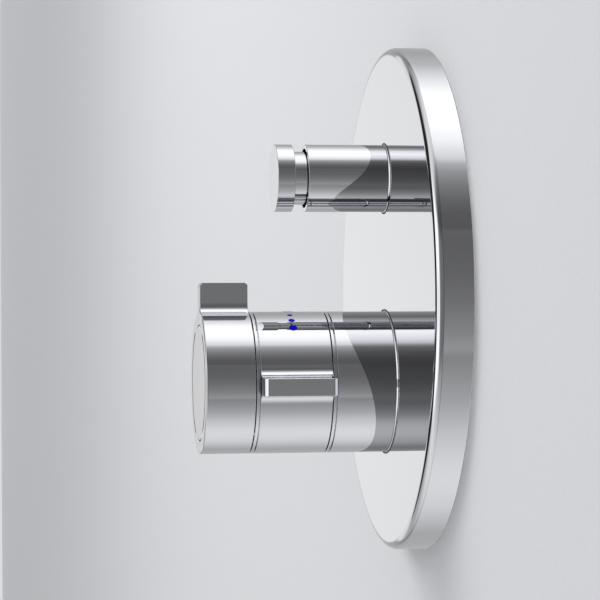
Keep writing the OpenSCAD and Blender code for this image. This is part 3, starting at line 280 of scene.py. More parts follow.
def outline(bm, points, closed=True):
    """Vertices at (radius, depth) joined by edges."""
    verts = [bm.verts.new((r, y, 0)) for r, y in points]
    for first, second in zip(verts, verts[1:] + verts[:1] if closed else verts[1:]):
        bm.edges.new((first, second))
    return verts


def round_corners(bm, corners, size, segments=6):
    """Rounds chosen outline corners."""
    bmesh.ops.bevel(bm, geom=corners, offset=size, segments=segments, affect="VERTICES",
                    profile=0.5, material=-1, offset_type="OFFSET")


def turn(bm, height, steps=TURN_STEPS):
    """Spins the outline round the Y axis and lifts it to its control's axis."""
    bmesh.ops.spin(bm, geom=bm.verts[:] + bm.edges[:], cent=(0, 0, 0), axis=(0, 1, 0),
                   angle=2 * math.pi, steps=steps, use_merge=True)
    bmesh.ops.remove_doubles(bm, verts=bm.verts, dist=MERGE)
    bmesh.ops.recalc_face_normals(bm, faces=bm.faces)
    bmesh.ops.translate(bm, verts=bm.verts, vec=(0, 0, height))


# %% [markdown]
# A finished bmesh becomes an object with its material. Each piece then says which body of the
# valve it moves with and which CAD nodes it stands for.


# %% From mesh to piece
def make_object(bm, name, material):
    """Turns a finished bmesh into a smooth-shaded object."""
    mesh = bpy.data.meshes.new(name)
    bm.to_mesh(mesh)
    bm.free()
    mesh.shade_smooth()
    mesh.set_sharp_from_angle(angle=SHARP)
    mesh.materials.append(material)
    piece = bpy.data.objects.new(name, mesh)
    bpy.context.scene.collection.objects.link(piece)
    return piece


def seat_piece(piece, body, slot, *nodes):
    """Gives a piece its body and hides the CAD nodes that it stands for; slot is not used."""
    weighted = piece.modifiers.new("Flat faces stay flat", "WEIGHTED_NORMAL")
    weighted.keep_sharp = True
    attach(piece, body)
    if nodes:
        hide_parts(*nodes)
    print(piece.name, "has", len(piece.data.polygons), "faces")
    return piece


# %% [markdown]
# The next two functions are used for nearly everything: one turns a piece from its outline, and
# one takes the shape of a cutter out of a piece, as a drill or a milling tool would.


# %% Turn and cut
def turned_piece(name, points, rounds, height, material, closed=True):
    """A turned piece from its outline; rounds maps corner numbers to radii."""
    bm = bmesh.new()
    verts = outline(bm, points, closed)
    for size in sorted(set(rounds.values())):
        round_corners(bm, [verts[i] for i in rounds if rounds[i] == size], size)
    turn(bm, height)
    return make_object(bm, name, material)


def cut_away(piece, cutter):
    """Takes the cutter's shape out of a piece and removes the cutter."""
    knife = piece.modifiers.new("Cut", "BOOLEAN")
    knife.operation = "DIFFERENCE"
    knife.solver = "EXACT"
    knife.object = cutter
    bpy.context.view_layer.update()
    evaluated = piece.evaluated_get(bpy.context.evaluated_depsgraph_get())
    cut_mesh = bpy.data.meshes.new_from_object(evaluated)
    piece.modifiers.clear()
    piece.data = cut_mesh
    cut_mesh.shade_smooth()
    cut_mesh.set_sharp_from_angle(angle=SHARP)
    bpy.data.objects.remove(cutter)


# %% [markdown]
# ## The cover plate
#
# The plate is a shallow dish, pressed and then polished. Its front is a flat mirror, its edge
# rolls over into the rim with a radius of a few millimetres, and a ledge inside the rim holds the
# foam seal. The dish is turned in one piece and the two holes are cut through it.

# %% Cover plate
PLATE_WALL = 2.5 * MM
RIM_WALL = 3 * MM
PLATE_EDGE = 2.9 * MM
BACK_EDGE = 0.1 * MM
INNER_EDGE = 0.8 * MM
LEDGE_FRONT, LEDGE_BACK = -4 * MM, -2 * MM
LEDGE_WIDTH = 4 * MM
COLLAR_WALL = 2.8 * MM
COLLAR_LEN = 6.5 * MM
COLLAR_EDGE = 0.3 * MM
CUT_END = 10 * MM
LARGE_SLEEVE_WALL = 1.8 * MM
SMALL_SLEEVE_WALL = 1.3 * MM
LARGE_HOLE = LARGE_R - LARGE_SLEEVE_WALL
SMALL_HOLE = SMALL_R - SMALL_SLEEVE_WALL
rim_in = PLATE_R - RIM_WALL
plate_inside = PLATE_FRONT + PLATE_WALL

plate = turned_piece(
    "cover_plate",
    [(0, PLATE_FRONT), (PLATE_R, PLATE_FRONT), (PLATE_R, PLATE_BACK), (rim_in, PLATE_BACK),
     (rim_in, LEDGE_BACK), (rim_in - LEDGE_WIDTH, LEDGE_BACK), (rim_in - LEDGE_WIDTH, LEDGE_FRONT),
     (rim_in, LEDGE_FRONT), (rim_in, plate_inside), (0, plate_inside)],
    {1: PLATE_EDGE, 2: BACK_EDGE, 8: INNER_EDGE}, 0, CHROME, closed=False)


def hole_cutter(hole_r, height):
    """A plain bar that cuts a round hole through the plate."""
    outside = [(0, 2 * PLATE_FRONT), (hole_r, 2 * PLATE_FRONT), (hole_r, CUT_END), (0, CUT_END)]
    return turned_piece("cutter", outside, {}, height, CHROME, closed=False)


for hole, height in ((LARGE_HOLE, LARGE_Z), (SMALL_HOLE, SMALL_Z)):
    cut_away(plate, hole_cutter(hole, height))
seat_piece(plate, "fixed", "chrome_plate", "escutcheon")


# %% [markdown]
# Each collar is a short tube behind the plate, round its hole. Rubber rings grip it from inside,
# and so they hold the plate.


# %% Collars
def plate_collar(name, hole, height):
    """The short tube behind one of the plate's holes."""
    back = plate_inside + COLLAR_LEN
    outside = hole + COLLAR_WALL
    profile = [(hole, plate_inside), (outside, plate_inside), (outside, back), (hole, back)]
    collar = turned_piece(name, profile, {2: COLLAR_EDGE, 3: COLLAR_EDGE}, height, CHROME)
    seat_piece(collar, "fixed", "chrome_plate")


plate_collar("large_plate_collar", LARGE_HOLE, LARGE_Z)
plate_collar("small_plate_collar", SMALL_HOLE, SMALL_Z)

# %% [markdown]
# ## Sleeves and spacers
#
# The sleeves are thin tubes with finely rounded ends, which catch a hair-thin line of light. The
# spacer rings between the turning rings have a spigot that reaches into their neighbour, and a
# narrow seam is left in front of each ring that turns.

# %% Sleeves and spacers
SEAM = 0.3 * MM
SEAM_EDGE = 0.2 * MM
SPACER_EDGE = 0.12 * MM
SEAT_GAP = 0.1 * MM
SPIGOT_WALL = 1.9 * MM
flow_front, flow_back = depths("flow_ring")
heat_front = depths("temperature_ring")[0]
heat_ring_back = depths("front_spacer")[0] - SEAM
sleeve_front = depths("rear_sleeve")[0]


def sleeve(name, node, wall, height):
    """A plain sleeve with softened outer edges."""
    front, back = depths(node)
    r = radius(node)
    tube = turned_piece(name, [(r - wall, front), (r, front), (r, back), (r - wall, back)],
                        {1: SEAM_EDGE, 2: SEAM_EDGE}, height, CHROME)
    seat_piece(tube, "fixed", "chrome_plate", node)


def spacer(name, node, body, rim_back):
    """A spacer ring, whose rim ends before its neighbour, and its spigot."""
    front, back = depths(node)
    spigot_out = LARGE_HOLE - SEAT_GAP
    spigot_in = spigot_out - SPIGOT_WALL
    ring = turned_piece(name, [(spigot_in, front), (LARGE_R, front), (LARGE_R, rim_back),
                               (spigot_out, rim_back), (spigot_out, back), (spigot_in, back)],
                        {1: SPACER_EDGE, 2: SPACER_EDGE}, LARGE_Z, CHROME)
    seat_piece(ring, body, "chrome_plate", node)


sleeve("large_sleeve", "rear_sleeve", LARGE_SLEEVE_WALL, LARGE_Z)
sleeve("small_sleeve", "diverter_sleeve", SMALL_SLEEVE_WALL, SMALL_Z)
spacer("rear_spacer_ring", "rear_spacer", "fixed", sleeve_front - SEAM)
spacer("front_spacer_ring", "front_spacer", "flow", flow_front - SEAM)

# %% [markdown]
# Each sleeve stands on a thin ring. Its cone faces the bright card in front of the valve, so it
# shows as a bright line. A flat rubber lip under it, matt and nearly black, draws a black one:
# that black is painted shade, standing for the dark gap round the sleeve's foot.

# %% Base rings
LIP_WIDTH = 0.3 * MM
LIP_THICKNESS = 0.08 * MM


def base_ring(name, node, sleeve_r, hole_r, height):
    """Chrome cone that widens from the sleeve to the plate, and the rubber lip round its foot, whose black
    paints the gap's shade.
    """
    front, back = depths(node)
    foot = radius(node)
    bore = hole_r + SEAT_GAP
    cone = turned_piece(f"{name}_base_ring", [(bore, front), (sleeve_r, front), (foot, back), (bore, back)],
                        {}, height, CHROME)
    seat_piece(cone, "fixed", "chrome_plate", node)
    lip_front, lip_out = back - LIP_THICKNESS, foot + LIP_WIDTH
    # The lip's black is painted shade for the gap between sleeve and plate.
    lip = turned_piece(f"{name}_shadow_gap_lip", [(foot - LIP_THICKNESS, lip_front), (lip_out, lip_front),
                                            (lip_out, back), (foot, back)], {}, height, GAP_SHADE_RUBBER)
    seat_piece(lip, "fixed", "black_rubber")


base_ring("large", "main_base_ring", LARGE_R, LARGE_HOLE, LARGE_Z)
base_ring("small", "diverter_base_ring", SMALL_R, SMALL_HOLE, SMALL_Z)

# %% [markdown]
# ## The two turning rings
#
# The flow ring and the temperature ring are die cast, machined and polished. Each is a ring with
# a finger tab whose foot flows into the ring with a hollow fillet. The outline is drawn like
# with a pen: a vertex is swung round a centre for each arc and pushed out for each straight
# line. The face inside is extruded to the ring's width and the tab's two outer corners are cut
# off, the back one at a gentler slope. Then every sharp edge is rounded, the front ones a little
# more.

# %% Ring outline
TAB_HALF = 2.9 * MM
TAB_REACH = 9.9 * MM
TAB_FILLET = 4 * MM
TAB_CORNER = 1.1 * MM
BACK_CORNER_LIFT = 0.3 * MM
FRONT_EDGE = 0.6 * MM
ARC_STEPS = 240
FILLET_STEPS = 14
FIND = 0.01 * MM
BEVEL = {"affect": "EDGES", "profile": 0.5, "material": -1, "offset_type": "OFFSET"}


def swing(bm, vert, centre, degrees, steps):
    """Swings a vertex round a centre in the XZ plane and leaves an arc behind."""
    made = bmesh.ops.spin(bm, geom=[vert], cent=(centre[0], vert.co.y, centre[1]), axis=(0, 1, 0),
                          angle=math.radians(degrees), steps=steps, use_duplicate=False)
    return next(item for item in made["geom_last"] if isinstance(item, bmesh.types.BMVert))


def push(bm, vert, x, z):
    """Pushes a vertex out to a new place and leaves a straight edge behind."""
    made = bmesh.ops.extrude_vert_indiv(bm, verts=[vert])
    made["verts"][0].co = (x, vert.co.y, z)
    return made["verts"][0]


# %% [markdown]
# The blank is drawn clockwise. The start point and the pen's arcs are all worked out from the
# tab's half width and its fillet: the fillet's centre lies where it touches both the ring and
# the tab's side.


# %% Ring blank
def sharp_edges(bm):
    """The edges that still need rounding."""
    return [edge for edge in bm.edges if edge.calc_face_angle(0) > SHARP]


def tabbed_ring(name, front, back, front_edge, edge):
    """Solid ring blank with a tab that points up, around the Y axis."""
    side = TAB_HALF + TAB_FILLET
    rise = math.sqrt((LARGE_R + TAB_FILLET) ** 2 - side ** 2)
    foot = math.degrees(math.atan2(side, rise))
    top = LARGE_R + TAB_REACH
    bm = bmesh.new()
    start = Vector((0, front, LARGE_R))
    start.rotate(Matrix.Rotation(math.radians(foot), 3, "Y"))
    pen = swing(bm, bm.verts.new(start), (0, 0), 360 - 2 * foot, ARC_STEPS)
    pen = swing(bm, pen, (-side, rise), foot - 90, FILLET_STEPS)
    pen = push(bm, pen, -TAB_HALF, top)
    pen = push(bm, pen, TAB_HALF, top)
    pen = push(bm, pen, TAB_HALF, rise)
    swing(bm, pen, (side, rise), foot - 90, FILLET_STEPS)
    bmesh.ops.remove_doubles(bm, verts=bm.verts, dist=FIND)
    face = bmesh.ops.contextual_create(bm, geom=bm.edges[:])["faces"]
    pushed = bmesh.ops.extrude_face_region(bm, geom=face)["geom"]
    back_verts = [item for item in pushed if isinstance(item, bmesh.types.BMVert)]
    bmesh.ops.translate(bm, vec=(0, back - front, 0), verts=back_verts)
    bmesh.ops.recalc_face_normals(bm, faces=bm.faces)
    corners = [e for e in bm.edges if all(v.co.z > top - FIND for v in e.verts)
               and abs(e.verts[0].co.y - e.verts[1].co.y) < FIND]
    bmesh.ops.bevel(bm, geom=corners, offset=TAB_CORNER, segments=1, **BEVEL)
    for vert in bm.verts:
        if vert.co.y > back - FIND and vert.co.z > top - TAB_CORNER - FIND:
            vert.co.z += BACK_CORNER_LIFT
    rim = [e for e in sharp_edges(bm) if all(v.co.y < front + FIND for v in e.verts)]
    bmesh.ops.bevel(bm, geom=rim, offset=front_edge, segments=5, clamp_overlap=True, **BEVEL)
    rest = sharp_edges(bm)
    bmesh.ops.bevel(bm, geom=rest, offset=edge, segments=3, clamp_overlap=True, **BEVEL)
    print(name, "blank: tab corners", len(corners), "edges softened", len(rim) + len(rest))
    return bm


# %% [markdown]
# Inside, each ring is hollow and has a web with a hub. Those rooms are turned cutters that are
# taken out of the blank. The middle ring is first turned a quarter round and one degree more,
# because its tab points to the user's right and hangs a hair below the axis. A hole from below
# lets the hexagon key reach the set screw in its hub.

# %% Flow ring
OVERRUN = 1 * MM


def room(points):
    """A turned cutter on the large control's axis."""
    touches_axis = any(r == 0 for r, _ in points)
    return turned_piece("cutter", points, {}, LARGE_Z, CHROME, closed=not touches_axis)


def place_ring(bm, name, clockwise):
    """Turns a blank clockwise by degrees, as the user sees it, and lifts it to its axis."""
    bmesh.ops.rotate(bm, verts=bm.verts, cent=(0, 0, 0),
                     matrix=Matrix.Rotation(math.radians(clockwise), 3, "Y"))
    bmesh.ops.translate(bm, verts=bm.verts, vec=(0, 0, LARGE_Z))
    return make_object(bm, name, CHROME)


FLOW_WEB_FRONT, FLOW_WEB_BACK = flow_front + 1.8 * MM, flow_front + 7.8 * MM
FLOW_HUB_R, FLOW_HUB_BACK = 12 * MM, flow_front + 15.8 * MM
TUBE_BORE = 8.05 * MM
FLOW_TAB_ANGLE = 91
KEY_HOLE_R = 2.3 * MM
before_flow, past_flow = flow_front - OVERRUN, flow_back + OVERRUN
under_bore = TUBE_BORE - OVERRUN
flow_blank = tabbed_ring("flow_handle", flow_front, flow_back, SEAM_EDGE, SEAM_EDGE)
flow = place_ring(flow_blank, "flow_handle", FLOW_TAB_ANGLE)
cut_away(flow, room([(0, before_flow), (LARGE_HOLE, before_flow), (LARGE_HOLE, FLOW_WEB_FRONT),
                     (TUBE_BORE, FLOW_WEB_FRONT), (TUBE_BORE, past_flow), (0, past_flow)]))
cut_away(flow, room([(FLOW_HUB_R, FLOW_WEB_BACK), (LARGE_HOLE, FLOW_WEB_BACK), (LARGE_HOLE, past_flow),
                     (under_bore, past_flow), (under_bore, FLOW_HUB_BACK), (FLOW_HUB_R, FLOW_HUB_BACK)]))
bm = bmesh.new()
bmesh.ops.create_cone(bm, cap_ends=True, segments=64, radius1=KEY_HOLE_R, radius2=KEY_HOLE_R, depth=LARGE_R)
key_hole_y = (FLOW_WEB_BACK + FLOW_HUB_BACK) / 2
bmesh.ops.translate(bm, verts=bm.verts, vec=(0, key_hole_y, LARGE_Z - LARGE_R / 2 - OVERRUN))
cut_away(flow, make_object(bm, "cutter", CHROME))
seat_piece(flow, "flow", "chrome_plate", "flow_ring")

# %% [markdown]
# The temperature ring is open at the front for its cap. A shallow cone round the recess makes
# the gap look like a ring of its own.

# %% Temperature ring
CAP_R = radius("front_cap")
CAP_RECESS = CAP_R + SEAM
CAP_DEPTH = 2.35 * MM
CAP_SLOPE, CAP_DIP = 0.4 * MM, 0.2 * MM
SCREW_ROOM_R = 17.8 * MM
HEAT_WEB_FRONT, HEAT_WEB_BACK = heat_front + 7.95 * MM, heat_front + 12.95 * MM
HEAT_HUB_R = 7 * MM
SPINDLE_BORE = 4.05 * MM
cone_r, recess_floor = CAP_RECESS + CAP_SLOPE, heat_front + CAP_DEPTH
before_heat, past_heat = heat_front - OVERRUN, heat_ring_back + OVERRUN
heat_blank = tabbed_ring("temperature_handle", heat_front, heat_ring_back, FRONT_EDGE, SEAM_EDGE)
heat = place_ring(heat_blank, "temperature_handle", 0)
cut_away(heat, room([(0, before_heat), (cone_r, before_heat), (cone_r, heat_front),
                     (CAP_RECESS, heat_front + CAP_DIP), (CAP_RECESS, recess_floor),
                     (SCREW_ROOM_R, recess_floor), (SCREW_ROOM_R, HEAT_WEB_FRONT),
                     (SPINDLE_BORE, HEAT_WEB_FRONT), (SPINDLE_BORE, past_heat), (0, past_heat)]))
cut_away(heat, room([(HEAT_HUB_R, HEAT_WEB_BACK), (LARGE_HOLE, HEAT_WEB_BACK), (LARGE_HOLE, past_heat),
                     (HEAT_HUB_R, past_heat)]))
seat_piece(heat, "temperature", "chrome_plate", "temperature_ring")

# %% [markdown]
# The cap in the temperature ring's face hides the screw. It is a disc with a spigot and a shallow
# cone round its edge, and the fine gap between the two cones reads as a thin dark circle.

# %% Cap
CAP_THICKNESS = 2.3 * MM
CAP_BACK_EDGE = 0.15 * MM
CAP_SPIGOT_WALL = 1.5 * MM
cap_back = heat_front + CAP_THICKNESS
spigot_back = depths("front_cap")[1]
spigot_out = SCREW_ROOM_R - SEAT_GAP
spigot_in = spigot_out - CAP_SPIGOT_WALL
cap = turned_piece(
    "control_cap",
    [(0, heat_front), (CAP_R - CAP_SLOPE, heat_front), (CAP_R, heat_front + CAP_DIP), (CAP_R, cap_back),
     (spigot_out, cap_back), (spigot_out, spigot_back), (spigot_in, spigot_back), (spigot_in, cap_back),
     (0, cap_back)],
    {3: CAP_BACK_EDGE}, LARGE_Z, CHROME, closed=False)
seat_piece(cap, "temperature", "chrome_plate", "front_cap")

# %% [markdown]
# ## The diverter knob
#
# One turned piece: a disc-shaped head, a narrower neck that dives into the sleeve, and a skirt
# that slides on the bonnet. Its four visible corners are rounded, the one between head and neck
# the most.

# %% Knob
knob_front, knob_back = depths("diverter_knob")
HEAD_BACK = knob_front + 5.9 * MM
NECK_R = 9.0 * MM
SKIRT_IN = 7.6 * MM
SKIRT_FLOOR = knob_front + 9.6 * MM
STEM_HOLE = 3.05 * MM
STEM_HOLE_FRONT = knob_front + 3.2 * MM
HEAD_EDGE, NECK_FILLET, SKIRT_EDGE = 0.2 * MM, 0.4 * MM, 0.15 * MM
knob = turned_piece(
    "push_knob",
    [(0, knob_front), (SMALL_R, knob_front), (SMALL_R, HEAD_BACK), (NECK_R, HEAD_BACK),
     (NECK_R, knob_back), (SKIRT_IN, knob_back), (SKIRT_IN, SKIRT_FLOOR), (STEM_HOLE, SKIRT_FLOOR),
     (STEM_HOLE, STEM_HOLE_FRONT), (0, STEM_HOLE_FRONT)],
    {1: HEAD_EDGE, 2: HEAD_EDGE, 3: NECK_FILLET, 4: SKIRT_EDGE}, SMALL_Z, CHROME, closed=False)
seat_piece(knob, "diverter", "chrome_plate", "diverter_knob")

# %% [markdown]
# ## Printed scale
#
# The middle ring carries a pad-printed scale: blue dots that grow towards cold, red dots towards
# hot, and the number 38 at the top. Ink has almost no thickness, so each mark is a very thin
# closed sheet that is bent round the ring.

# %% Print
INK = 0.03 * MM
INK_LIFT = 0.006 * MM
PRINT_Y = (flow_front + flow_back) / 2
DOT_ANGLES = (18, 28.4, 39.1)
DOT_SIZES = (1.85 * MM, 2.15 * MM, 2.75 * MM)
NUMBER_HEIGHT = 3.4 * MM
FONT_SIZE_SHARE = 1.37


def wrap_print(bm, name, degrees, material):
    """Bends a flat sheet in the XY plane round the flow ring, degrees clockwise from the top."""
    bmesh.ops.translate(bm, verts=bm.verts, vec=(0, PRINT_Y, 0))
    for vert in bm.verts:
        angle = vert.co.x / LARGE_R + math.radians(degrees)
        reach = LARGE_R + INK_LIFT + vert.co.z
        vert.co = (reach * math.sin(angle), vert.co.y, LARGE_Z + reach * math.cos(angle))
    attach(make_object(bm, name, material), "flow")


def dot(name, size, degrees, material):
    """A round dot, cut fine enough to bend round the ring."""
    bm = bmesh.new()
    bmesh.ops.create_circle(bm, cap_ends=True, cap_tris=True, segments=48, radius=size / 2)
    bmesh.ops.subdivide_edges(bm, edges=bm.edges, cuts=2, use_grid_fill=True)
    top = bmesh.ops.extrude_face_region(bm, geom=bm.faces[:])["geom"]
    top_verts = [item for item in top if isinstance(item, bmesh.types.BMVert)]
    bmesh.ops.translate(bm, vec=(0, 0, INK), verts=top_verts)
    bmesh.ops.recalc_face_normals(bm, faces=bm.faces)
    wrap_print(bm, name, degrees, material)


for number, (angle, size) in enumerate(zip(DOT_ANGLES, DOT_SIZES), start=1):
    dot(f"cold_dot_{number}", size, angle, BLUE_INK)
    dot(f"hot_dot_{number}", size, -angle, RED_INK)


# %% [markdown]
# The number is set in Blender's own plain typeface and turned into a mesh. A typeface's size is
# larger than the height of its digits, so a share turns the height into the size.


# %% Number
def number_mesh(text, height):
    """The number as a closed thin sheet, read from the front of the control."""
    curve = bpy.data.curves.new("number", "FONT")
    curve.body = text
    curve.size = height * FONT_SIZE_SHARE
    curve.align_x, curve.align_y = "CENTER", "CENTER"
    curve.extrude = INK / 2
    letters = bpy.data.objects.new("number", curve)
    bpy.context.scene.collection.objects.link(letters)
    bpy.context.view_layer.update()
    evaluated = letters.evaluated_get(bpy.context.evaluated_depsgraph_get())
    mesh = bpy.data.meshes.new_from_object(evaluated)
    bpy.data.objects.remove(letters)
    bm = bmesh.new()
    bm.from_mesh(mesh)
    bmesh.ops.remove_doubles(bm, verts=bm.verts, dist=MERGE)
    bmesh.ops.translate(bm, verts=bm.verts, vec=(0, 0, INK / 2))
    return bm


wrap_print(number_mesh("38", NUMBER_HEIGHT), "scale_number", 0, GREY_INK)

# %% [markdown]
# ## Finishes of the CAD pieces
#
# The pieces inside the wall keep their CAD meshes and only get their finish. A short table gives
# each material slot of the record its finish, and the cast body then gets a rougher brass.

# %% Dress the CAD nodes
SLOT_FINISH = {"chrome_plate": CHROME, "brass": TURNED_BRASS, "black_rubber": RUBBER, "foam": FOAM,
               "steel": STEEL, "white_ceramic": ALUMINA, "dark_plastic": PLASTIC, "copper": COPPER}
for part in frame["record"]["subparts"]:
    node = frame["nodes"][part["node"]]
    node.data.materials.clear()
    node.data.materials.append(SLOT_FINISH[part["material_slot"]])
frame["nodes"]["valve_body"].data.materials[0] = CAST_BRASS

# %% [markdown]
# ## Studio
#
# A mirror shows its surroundings, so the studio is the look. The camera stands almost level with
# the plate, far round to the user's right. The wall is a pale painted panel. Mirrors look past
# it to the studio's light: a large softbox overhead, dim walls beside the camera, and a bright
# floor. The lens is long: its focal length is several times the picture's width.

# %% Camera
CAMERA_PLACE = (771.8 * MM, -159.9 * MM, -1.5 * MM)
YAW, PITCH, ROLL = math.radians(8.754), math.radians(0.083), math.radians(-0.222)
PICTURE_PIXELS, FOCAL_PIXELS = 600, 2303

forward = Vector((-math.cos(YAW) * math.cos(PITCH), math.sin(YAW) * math.cos(PITCH), math.sin(PITCH)))
level_right = forward.cross(Vector((0, 0, 1))).normalized()
level_up = level_right.cross(forward)
right = math.cos(ROLL) * level_right + math.sin(ROLL) * level_up
up = right.cross(forward)
camera = bpy.data.objects.new("camera", bpy.data.cameras.new("camera"))
bpy.context.scene.collection.objects.link(camera)
aim = Matrix((right, up, -forward)).transposed().to_4x4()
camera.matrix_world = Matrix.Translation(CAMERA_PLACE) @ aim
camera.data.angle = 2 * math.atan(PICTURE_PIXELS / 2 / FOCAL_PIXELS)
bpy.context.scene.camera = camera
print("lens", round(camera.data.lens, 1), "mm")

# %% [markdown]
# The wall has a round opening behind the plate, as a real one has. Seen from behind it vanishes,
# so that the concealed half of the valve can be looked at, and mirrors look through it.

# %% Wall and floor
WALL_HOLE = 76 * MM
WALL_GAP = 0.05 * MM
WALL_REACH = 6.0
FLOOR_Z = -1.1


def make_stage_paint(name, grain_mm, dark, light, clear_from_behind):
    """Pale matt paint that mirrors look through."""
    material, tree, output = new_material(name)
    grain = object_noise(tree, size_mm=grain_mm, detail=2)
    tone = ramp(tree, grain.outputs["Fac"], [(0.3, linear(dark)), (0.7, linear(light))])
    paint = add_node(tree, "ShaderNodeBsdfDiffuse", Color=tone.outputs["Color"])
    clear = add_node(tree, "ShaderNodeBsdfTransparent")
    unseen = add_node(tree, "ShaderNodeLightPath").outputs["Is Glossy Ray"]
    if clear_from_behind:
        side = add_node(tree, "ShaderNodeNewGeometry")
        unseen = add_node(tree, "ShaderNodeMath", {"operation": "MAXIMUM"}, _0=unseen,
                          _1=side.outputs["Backfacing"]).outputs[0]
    mix = add_node(tree, "ShaderNodeMixShader", _0=unseen, _1=paint.outputs[0], _2=clear.outputs[0])
    tree.links.new(mix.outputs[0], output.inputs["Surface"])
    return material


bm = bmesh.new()
outline(bm, [(WALL_HOLE, WALL_GAP), (WALL_REACH, WALL_GAP)], closed=False)
turn(bm, 0, steps=64)
for face in bm.faces:
    if face.normal.y > 0:
        face.normal_flip()
wall_paint = make_stage_paint("pale_wall_paint", 2.5, "e1e2e4", "e3e4e6", clear_from_behind=True)
make_object(bm, "studio_wall", wall_paint)

bm = bmesh.new()
bmesh.ops.create_grid(bm, x_segments=1, y_segments=1, size=WALL_REACH)
bmesh.ops.translate(bm, verts=bm.verts, vec=(0, 0, FLOOR_Z))
floor_paint = make_stage_paint("pale_studio_floor", 60, "e0e0e2", "e4e4e6", clear_from_behind=False)
make_object(bm, "studio_floor", floor_paint)

# %% [markdown]
# ## World
#
# The world holds the studio's reflections. Seen along the controls' axis, the direction of a
# reflection is an angle round that axis: 0 points to the camera's side, 90 straight up, 180 away
# from the camera, -90 straight down. A colour ramp over that angle places the softbox above, the
# dim room beside the camera and the bright floor.
#
# The studio isn't the same everywhere. Rays that have met the plate's face run a little towards
# the user, and a second ramp holds what they see: narrower light, darker sides. Straight towards
# the user, near eye level, a third ramp over the angle from side to side holds a tall white card
# and the dim room. Each mark of a ramp is an angle in degrees and a brightness.

# %% Ramps of the studio
BESIDE = [
    (-180, 0.47), (-146, 0.55), (-133, 0.58), (-120, 0.78), (-108, 0.98), (-97, 1.08), (-87, 1.11),
    (-78, 1.06), (-62, 0.86), (-48, 0.60), (-34, 0.44), (-26, 0.37), (-22, 0.47), (-15, 0.37),
    (-2, 0.26), (11, 0.20), (24, 0.18), (29.8, 0.19), (30.4, 0.15), (38, 0.16), (44, 0.21),
    (51, 0.31), (58, 0.48), (62, 0.68), (65, 1.07), (75, 1.5), (85, 1.7), (104, 1.7), (118, 1.2),
    (132, 0.72), (150, 0.50), (180, 0.47)]
IN_FRONT = [
    (-180, 1.04), (-172, 1.0), (-168, 0.50), (-150, 0.36), (-135, 0.34), (-116, 0.62), (-95, 0.83),
    (-80, 0.82), (-68, 0.70), (-56, 0.44), (-45, 0.30), (-34, 0.21), (-24, 0.22), (-13, 0.17),
    (0, 0.135), (8, 0.12), (18, 0.11), (29, 0.095), (40, 0.11), (51, 0.17), (60, 0.28), (63, 0.50),
    (69, 1.2), (76, 1.6), (90, 2.0), (106, 1.66), (116, 0.80), (127, 0.50), (133, 0.27),
    (168, 0.50), (172, 1.0), (180, 1.04)]
EYE_LEVEL = [
    (-180, 1.0), (-64, 1.0), (-56, 0.5), (-30, 0.5), (-22, 1.0), (-16, 1.7), (20, 1.6), (26, 0.60),
    (36, 0.30), (46, 0.25), (56, 0.23), (90, 0.21), (130, 0.6), (180, 1.0)]

# %% [markdown]
# Small functions make the node sums readable. A range of a value gives a share from 0 to 1, and
# the share blends two brightnesses.


# %% World helpers
def times(tree, first, second):
    """Product of two values."""
    return add_node(tree, "ShaderNodeMath", {"operation": "MULTIPLY"}, _0=first, _1=second).outputs[0]


def blend(tree, share, first, second):
    """Goes from the first value to the second as the share goes from 0 to 1."""
    return add_node(tree, "ShaderNodeMix", {"data_type": "FLOAT"}, _0=share, _2=first, _3=second).outputs[0]


def stretch(tree, value, start, end, low=0.0, high=1.0, smooth=False):
    """Goes from low to high as the value goes from start to end."""
    curve = {"interpolation_type": "SMOOTHSTEP" if smooth else "LINEAR"}
    node = add_node(tree, "ShaderNodeMapRange", curve, Value=value, From_Min=start, From_Max=end,
                    To_Min=low, To_Max=high)
    return node.outputs["Result"]


def between(tree, value, low, high, soft):
    """One inside the range from low to high, nothing outside, with soft ends."""
    rise = stretch(tree, value, low - soft, low + soft, smooth=True)
    fall = stretch(tree, value, high - soft, high + soft, 1.0, 0.0, smooth=True)
    return times(tree, rise, fall)


def angle_of(tree, upper, lower):
    """Angle whose tangent is upper / lower."""
    return add_node(tree, "ShaderNodeMath", {"operation": "ARCTAN2"}, _0=upper, _1=lower).outputs[0]


def angle_ramp(tree, angle, marks):
    """Brightness over an angle; each mark is an angle in degrees and a level."""
    share = stretch(tree, angle, -math.pi, math.pi)
    peak = max(level for _, level in marks)
    scaled = ramp(tree, share, [((degrees + 180) / 360, level / peak) for degrees, level in marks])
    grey = add_node(tree, "ShaderNodeRGBToBW", Color=scaled.outputs["Color"])
    return times(tree, grey.outputs[0], peak)


# %% [markdown]
# Now the parts of the studio are laid over each other. A direction has three shares: x to the
# camera's side, z up, and one towards the user. The room in front starts sooner on the side away
# from the camera. On the user's side a black flag hides a stretch of the white card, a pale
# doorway opens in its middle, so that the plate isn't burnt out when it is seen from the front.
# A narrow dark slit stands close beside the camera. The wall itself is bright.

# %% Places in the studio
FRONT_STARTS, FRONT_ENDS = (0.055, 0.12), 0.165
FRONT_SIDES = (-0.5, 0.5)
USER_STARTS, USER_ENDS = 0.215, 0.27
EYE_HEIGHTS, EYE_SOFT = (-0.44, 0.44), 0.11
DIM_HEIGHTS, DIM_LEVEL = (0.1, 0.4), 0.65
FLAG_ANGLES, FLAG_SOFT = (-59, -18), 2.5
FLAG_HEIGHTS, FLAG_HEIGHT_SOFT, FLAG_LEVEL = (-0.42, 0.56), 0.05, 0.03
DOOR_ANGLES, DOOR_SOFT = (-7, 5), 4
DOOR_HEIGHTS, DOOR_HEIGHT_SOFT, DOOR_LEVEL = (-0.13, 0.09), 0.07, 0.9
SLIT_RANGE, SLIT_SOFT, SLIT_LEVEL = (0.126, 0.146), 0.004, 0.06
SLIT_SIDES, SLIT_SIDE_SOFT = (0.93, 2.0), 0.03
WALL_STARTS, WALL_ENDS, WALL_LEVEL = 0.7, 0.85, 1.6

